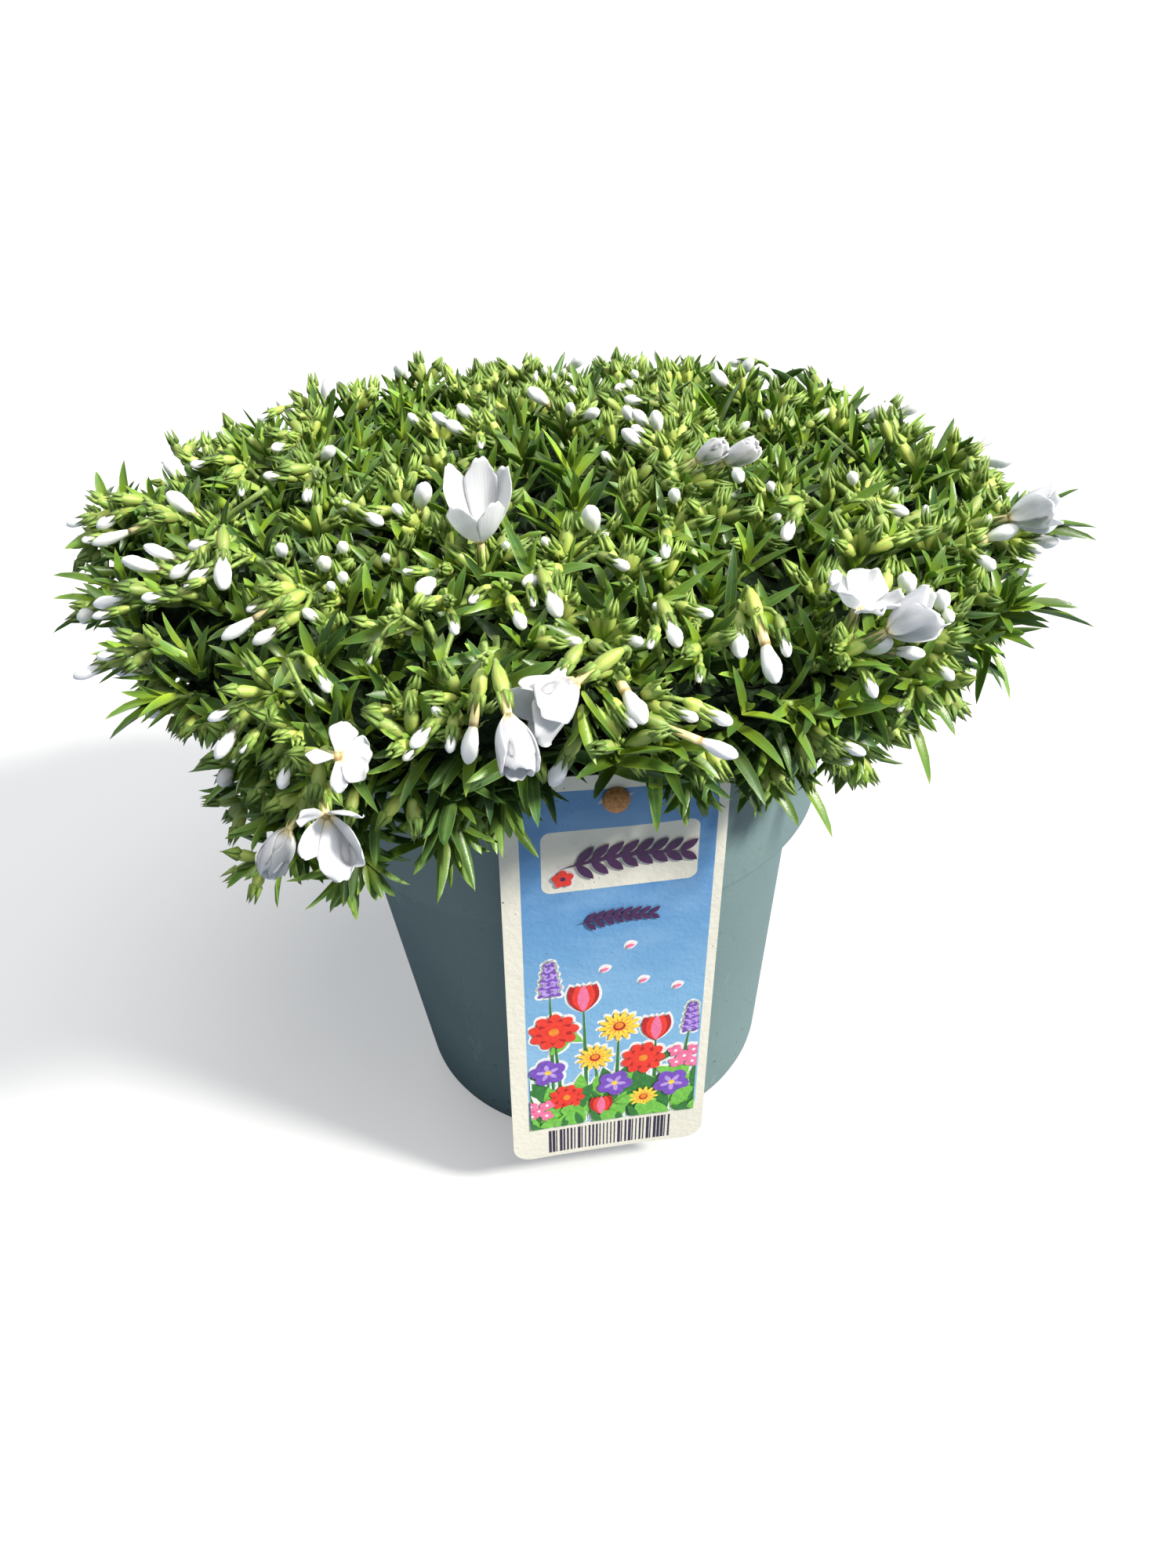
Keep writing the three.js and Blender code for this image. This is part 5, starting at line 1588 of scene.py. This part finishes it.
# What the simpler flowers are made of. Petals: ink, share of the radius, count, extra turn, width and
# where they start. Disc: ink, share of the radius and how far up it sits.
FLOWER_PARTS = {
    "rosette": [
        ("red", 1, 9, 0, 0.30, 0), ("dark_red", 0.74, 9, 0.35, 0.16, 0.3), ("red", 0.62, 7, 0, 0.34, 0),
        ("orange", 0.2, 0),
    ],
    "daisy": [
        ("yellow", 1, 13, 0, 0.15, 0), ("orange", 0.6, 13, 0, 0.05, 0.3), ("dark_red", 0.3, 0),
        ("orange", 0.2, 0.05),
    ],
    "five": [("purple", 1, 5, 0, 0.44, 0), ("lilac", 0.62, 5, 0, 0.2, 0.1), ("yellow", 0.17, 0)],
}
# A tulip's blades: ink, lean and width. Where a bell flower's small heads sit.
TULIP = [
    ("dark_red", -0.5, 0.9), ("dark_red", 0.5, 0.9), ("red", -0.22, 0.85), ("red", 0.24, 0.85),
    ("pink", 0, 0.6),
]
BELLS = [(-0.6, 0.5), (0.6, 0.4), (0, -0.1), (-0.5, -0.6), (0.55, -0.7)]
INK_DEPTH = 0.02
GREENS = ("green", "dark_green")


def ink_surface(name, value):
    look = Surface("Ink " + name, Roughness=0.4)
    dots = look.noise(900, 3)
    base = look.cover(rgba(value), rgba(value, 1.6), dots, 0.4, 0.65, 0.55)
    return look.finish(base, None, dots, 0.0001, 0.2)


class Print:
    """Flat inked shapes, laid one over the other on the card's front."""

    def __init__(self, settings):
        self.settings = settings
        self.layer = 0
        self.shapes = {name: Growth() for name in INKS}

    def shape(self, ink, across, along, clip=True):
        """A filled outline round its middle, in millimetres from the hole, and a white edge for the bed's."""
        if clip:
            middle = np.array([across.mean(), along.mean()])
            away = np.stack([across, along], -1) - middle
            edge = middle + away + unit(away + 1e-9) * WHITE_EDGE
            self.lay("white", *self.clipped(edge[:, 0], edge[:, 1]), 0.03)
            across, along = self.clipped(across, along)
        self.layer += 1
        self.lay(ink, across, along, 0.04 + self.layer * 0.0008)

    @staticmethod
    def clipped(across, along):
        return np.clip(across, BED["left"], BED["right"]), np.maximum(along, BED["foot"])

    def lay(self, ink, across, along, height, middle_depth=INK_DEPTH):
        """A flat body of ink at a height over the card."""
        lift = self.settings.thickness / MM + height
        low, high = (label_points(across, along, lift - drop, self.settings) for drop in (INK_DEPTH, 0))
        across, along = across.mean(keepdims=True), along.mean(keepdims=True)
        foot, tip = (label_points(across, along, lift - drop, self.settings) for drop in (middle_depth, 0))
        self.shapes[ink].add(closed(foot, np.stack([low, high])[None], tip), len(low))

    def petals(self, ink, middle, radius, count, turn, width, start):
        share = np.linspace(0, 2 * math.pi, 14, endpoint=False)
        long = radius * (start + 1) / 2 + radius * (1 - start) / 2 * np.cos(share)
        side = radius * width * np.sin(share)
        for number in range(count):
            angle = turn + number * 2 * math.pi / count
            x = middle[0] + long * math.cos(angle) - side * math.sin(angle)
            self.shape(ink, x, middle[1] + long * math.sin(angle) + side * math.cos(angle))

    def disc(self, ink, middle, radius):
        share = np.linspace(0, 2 * math.pi, 14, endpoint=False)
        self.shape(ink, middle[0] + radius * np.cos(share), middle[1] + radius * np.sin(share))

    def blade(self, ink, foot, tip, width, bow=0.0, clip=True):
        """A leaf or stalk from foot to tip, bowed to one side."""
        foot, tip = np.array(foot, float), np.array(tip, float)
        ahead = tip - foot
        square = np.array([-ahead[1], ahead[0]]) / (np.linalg.norm(ahead) + 1e-6)
        run = np.concatenate([np.linspace(0, 1, 9), np.linspace(1, 0, 9)[1:-1]])
        side = np.sin(run * math.pi) ** 0.8 * np.repeat([1, -1], [9, 7]) * width / 2
        place = foot + ahead * run[:, None] + square * (side + bow * np.sin(run * math.pi))[:, None]
        self.shape(ink, place[::-1, 0], place[::-1, 1], clip)

    def flower(self, kind, x, y, radius, turn):
        """One flower, in its inks."""
        for ink, share, *rest in FLOWER_PARTS.get(kind, ()):
            if len(rest) == 1:
                self.disc(ink, (x, y + radius * rest[0]), radius * share)
            else:
                count, more, width, start = rest
                self.petals(ink, (x, y), radius * share, count, turn + more, width, start)
        if kind == "tulip":
            for ink, lean, wide in TULIP:
                self.blade(ink, (x, y - radius * 0.9), (x + lean * radius * 1.3, y + radius), radius * wide)
        elif kind == "bell":
            for number, (across, up) in enumerate(BELLS):
                middle = (x + across * radius, y + up * radius)
                self.petals("pink", middle, radius * 0.55, 4, turn + number, 0.45, 0.0)
                self.disc("white", middle, radius * 0.12)
        elif kind == "spike":
            for level in range(9):
                size = radius * (0.55 - 0.035 * level)
                height = y - radius * 1.2 + level * radius * 0.42
                for side in (-1, 0, 1):
                    place = (x + side * size * 0.9, height - abs(side) * 0.4)
                    ink = "purple" if (level + side) % 2 else "lilac"
                    self.petals(ink, place, size, 3, turn + level, 0.35, 0.0)

    def sprig(self, ink, left, right, level, size):
        """A lying stem with pairs of leaves."""
        self.blade(ink, (left, level), (right, level + size * 0.2), size * 0.16, size * 0.25, clip=False)
        for share in np.linspace(0.12, 0.95, 8):
            x = left + (right - left) * share
            y = level + size * (0.2 * share + 0.25 * math.sin(share * math.pi))
            for side in (-1, 1):
                tip = (x + size * 0.62, y + side * size * (0.75 - 0.3 * share))
                self.blade(ink, (x, y), tip, size * 0.34, clip=False)

    def bars(self):
        """Plain upright bars on the card's lower margin."""
        random = np.random.default_rng(5)
        wide, tall = in_mm(self.settings, "width", "height")
        foot = LABEL["hole_below_top"] - tall + BARS["bottom"]
        pitch = BARS["width"] / BARS["count"]
        for number in range(BARS["count"]):
            left = -wide / 2 + BARS["left"] + number * pitch
            right = left + pitch * random.choice([0.3, 0.5, 0.75])
            along = np.repeat([foot, foot + BARS["height"]], 2)
            self.lay("ink", np.array([left, right, right, left]), along, 0.06, 0.05)


def print_flower_bed(settings):
    """Garden flowers tall at the left and low at the right, leaves under them, and two sprigs above."""
    random = np.random.default_rng(12)
    art = Print(settings)
    foot = BED["foot"]
    for kind, x, y, radius in BED_FLOWERS:
        art.blade("dark_green", (x * 0.9 + random.uniform(-2, 2), foot - 1), (x, y), 1.1)
        for side in (-1, 1):
            low = foot + (y - foot) * random.uniform(0.15, 0.7)
            leaf = (x + side * random.uniform(5, 9), low + random.uniform(1, 6))
            art.blade(GREENS[random.integers(2)], (x, low), leaf, random.uniform(2.6, 3.8), side * 0.5)
    for level, count in ((-108, 9), (-113, 10), (-118, 11)):
        for x in np.linspace(-23, 26, count):
            tip = (x + random.uniform(-7, 7), level + random.uniform(3, 8))
            ink = GREENS[random.integers(2)]
            art.blade(ink, (x, level - 8), tip, random.uniform(4, 6), random.uniform(-1, 1))
    for number, (kind, x, y, radius) in enumerate(BED_FLOWERS):
        art.flower(kind, x, y, radius, random.uniform(0, 3))
        if number > 8:
            tip = (x + random.uniform(-9, 9), y - random.uniform(2, 6))
            art.blade("green", (x, y - 9), tip, 4, random.uniform(-1, 1))
    for x in np.linspace(-22, 25, 9):
        tip = (x + random.uniform(-8, 8), foot + random.uniform(4, 8))
        art.blade("green", (x, foot - 2), tip, random.uniform(3, 5), random.uniform(-1, 1))
        tip = (x + random.uniform(-6, 6), foot + random.uniform(2, 6))
        art.blade("dark_green", (x + 2, foot - 2), tip, 2.4)
    for x, y in ((4, -52), (-3, -60), (18, -70), (8, -66)):
        art.blade("pink", (x, y), (x + 2.2, y + 1.2), 1.3, 0.3)
    art.sprig("plum", -14, 19, -21, 7.5)
    art.petals("red", (-13.5, -24.5), 3.0, 5, 0.4, 0.42, 0.0)
    art.disc("plum", (-13.5, -24.5), 0.7)
    art.sprig("plum", -10, 11, -41, 4.6)
    art.bars()
    used = {name: growth for name, growth in art.shapes.items() if growth.parts}
    inks = [ink_surface(name, INKS[name]) for name in used]
    place_piece("label_print", list(used.values()), inks, "label").data.shade_flat()


# ---------------- operators

FLOOR_REACH = 90.0  # metres each way, so that its edge is out of sight


class PHLOX_OT_stage(bpy.types.Operator):
    """Makes the floor, the soft lights and the camera"""
    bl_idname = "phlox.stage"
    bl_label = "Stage"

    def execute(self, context):
        settings = context.scene.phlox_stage
        self.floor(settings)
        self.light(settings)
        self.world(context, settings)
        self.camera(context)
        context.scene.view_settings.view_transform = "Standard"
        context.scene.view_settings.look = "None"
        return {"FINISHED"}

    @staticmethod
    def floor(settings):
        mesh = bpy.data.meshes.new("floor")
        corners = [(x * FLOOR_REACH, y * FLOOR_REACH, 0) for x, y in ((-1, -1), (1, -1), (1, 1), (-1, 1))]
        mesh.from_pydata(corners, [], [(0, 1, 2, 3)])
        floor = link_object("floor", mesh)
        floor.location.z = -0.0003
        look = Surface("Floor", Roughness=0.7, Emission_Color=(1, 1, 1, 1), Emission_Strength=settings.glow)
        pale, dusky = rgba(settings.floor), rgba(settings.floor, 0.97)
        mesh.materials.append(look.finish(look.cover(pale, dusky, look.noise(2.0, 2), 0.3, 0.7, 0.3)))
        dim = add_node(look.tree, "BsdfDiffuse", {"Color": rgba(settings.bounce)})
        for_camera(look.tree, dim, look.shader, "Material Output")

    @staticmethod
    def light(settings):
        side, rise = math.degrees(settings.azimuth), math.degrees(settings.elevation)
        lamps = (
            ("key", settings.key, direction(side, rise), settings.softness, (1.0, 0.97, 0.91)),
            ("overhead", settings.overhead, direction(side - 15, 76), math.radians(50), (1.0, 0.98, 0.95)),
            ("back", settings.back, direction(side + 145, 22), math.radians(60), (0.92, 0.96, 1.0)),
        )
        for name, power, toward, softness, tint in lamps:
            lamp = bpy.data.lights.new(name, "SUN")
            lamp.energy = power
            lamp.angle = softness
            lamp.color = tint
            link_object(name, lamp).rotation_euler = Vector(toward).to_track_quat("Z", "Y").to_euler()

    @staticmethod
    def world(context, settings):
        world = bpy.data.worlds.new("Studio")
        world.use_nodes = True
        tree = world.node_tree
        soft = tree.nodes["Background"]
        soft.inputs["Color"].default_value = (0.66, 0.81, 1.0, 1)
        soft.inputs["Strength"].default_value = settings.sky
        backdrop = add_node(tree, "Background", {"Color": (0.86, 0.87, 0.88, 1), "Strength": 1.0})
        for_camera(tree, soft, backdrop, "World Output")
        context.scene.world = world

    @staticmethod
    def camera(context):
        eye = Eye()
        data = bpy.data.cameras.new("camera")
        data.sensor_width = SENSOR
        data.lens = FOCAL_PIXELS / max(IMAGE) * SENSOR
        data.clip_start = 0.01
        turn = Matrix(np.stack([eye.right, eye.up, -eye.forward], 1).tolist()).to_4x4()
        context.scene.camera = link_object("camera", data)
        context.scene.camera.matrix_world = Matrix.Translation(Vector(eye.place * MM)) @ turn


class PHLOX_OT_pot(bpy.types.Operator):
    """Turns the nursery pot and fills it with soil"""
    bl_idname = "phlox.pot"
    bl_label = "Pot and soil"

    def execute(self, context):
        make_pot(context.scene.phlox_pot)
        make_soil(context.scene.phlox_pot)
        return {"FINISHED"}


class PHLOX_OT_label(bpy.types.Operator):
    """Cuts the label, prints it and pegs it to the pot"""
    bl_idname = "phlox.label"
    bl_label = "Label and peg"

    def execute(self, context):
        settings = context.scene.phlox_label
        make_label(settings)
        print_flower_bed(settings)
        make_peg(settings)
        return {"FINISHED"}


class PHLOX_OT_foliage(bpy.types.Operator):
    """Grows the leafy shoots, the calyces and their stalks"""
    bl_idname = "phlox.foliage"
    bl_label = "Leafy growth"

    def execute(self, context):
        settings = context.scene.phlox_shoots
        plan = Plan()
        leaf = leaf_surface(settings)
        leaves = {f"leaves_{number + 1}": growth for number, growth in enumerate(grow_leaves(plan, settings))}
        calyces, stalks = grow_clusters(plan, settings)
        grow_carriers(plan, calyces, stalks, settings)
        places, _ = stem_way(plan, [1.5, 22, 42])
        deep = np.array([plan.mound.nearest(place)[2] for place in places[:, 1]]) > 10
        low, middle, high = places[(plan.leafy > 0.6) & deep].transpose(1, 0, 2)
        add_tubes(stalks, low, middle, high, 0.85, tone=0.4)
        pieces = {name: (growth, leaf) for name, growth in leaves.items()}
        pieces["calyces"] = (calyces, calyx_surface(settings))
        pieces["stems"] = (stalks, stem_surface())
        pieces["inner_growth"] = (grow_core(plan), core_shade_surface())
        for name, (growth, material) in pieces.items():
            place_piece(name, [growth], [material], "foliage", "foliage")
        return {"FINISHED"}


class PHLOX_OT_buds(bpy.types.Operator):
    """Grows the white buds"""
    bl_idname = "phlox.buds"
    bl_label = "White buds"

    def execute(self, context):
        settings = context.scene.phlox_blooms
        buds = Plan().buds
        foot, heading, _, long, radius, tube = (buds[key] for key in BUD_KEYS)
        white, tubes = Growth(), Growth()
        add_buds(white, foot, heading, long, radius, np.random.default_rng(23).random(len(foot)))
        low, high = foot - heading * (tube + 3)[:, None], foot + heading * 0.6
        add_tubes(tubes, low, (low + high) / 2, high, radius * 0.48, corners=10, taper=1.2)
        place_piece("white_buds", [white, tubes], [bud_surface(settings), tube_surface()], "petal")
        return {"FINISHED"}


class PHLOX_OT_blooms(bpy.types.Operator):
    """Grows the open and opening blooms"""
    bl_idname = "phlox.blooms"
    bl_label = "Blooms"

    def execute(self, context):
        settings = context.scene.phlox_blooms
        materials = [petal_surface(settings), tube_surface()]
        plan = Plan()
        for number, (node, bloom) in enumerate(plan.blooms.items()):
            growths = grow_bloom(bloom, plan.eye.up, settings, np.random.default_rng(60 + number))
            place_piece(node.replace("bloom", "petals"), growths, materials, "petal", node)
        return {"FINISHED"}


class PHLOX_PT_sidebar(bpy.types.Panel):
    """Lists the steps and their settings"""
    bl_idname = "PHLOX_PT_sidebar"
    bl_label = "Phlox"
    bl_space_type = "VIEW_3D"
    bl_region_type = "UI"
    bl_category = "Phlox"

    def draw(self, context):
        for operator, settings in STEPS:
            box = self.layout.box()
            box.operator(operator.bl_idname)
            group = getattr(context.scene, settings)
            for name in group.__annotations__:
                box.prop(group, name)


STEPS = [
    (PHLOX_OT_stage, "phlox_stage"),
    (PHLOX_OT_pot, "phlox_pot"),
    (PHLOX_OT_label, "phlox_label"),
    (PHLOX_OT_foliage, "phlox_shoots"),
    (PHLOX_OT_buds, "phlox_blooms"),
    (PHLOX_OT_blooms, "phlox_blooms"),
]
GROUPS = {
    "phlox_stage": StageSettings,
    "phlox_pot": PotSettings,
    "phlox_label": LabelSettings,
    "phlox_shoots": ShootSettings,
    "phlox_blooms": BloomSettings,
}
CLASSES = [*GROUPS.values(), *(operator for operator, _ in STEPS), PHLOX_PT_sidebar]


def register():
    for listed in CLASSES:
        bpy.utils.register_class(listed)
    for name, group in GROUPS.items():
        setattr(bpy.types.Scene, name, PointerProperty(type=group))


def unregister():
    for name in GROUPS:
        delattr(bpy.types.Scene, name)
    for listed in reversed(CLASSES):
        bpy.utils.unregister_class(listed)


def main():
    register()
    bpy.ops.phlox.stage()
    bpy.ops.phlox.pot()
    bpy.ops.phlox.label()
    bpy.ops.phlox.foliage()
    bpy.ops.phlox.buds()
    bpy.ops.phlox.blooms()


if __name__ == "__main__":
    main()
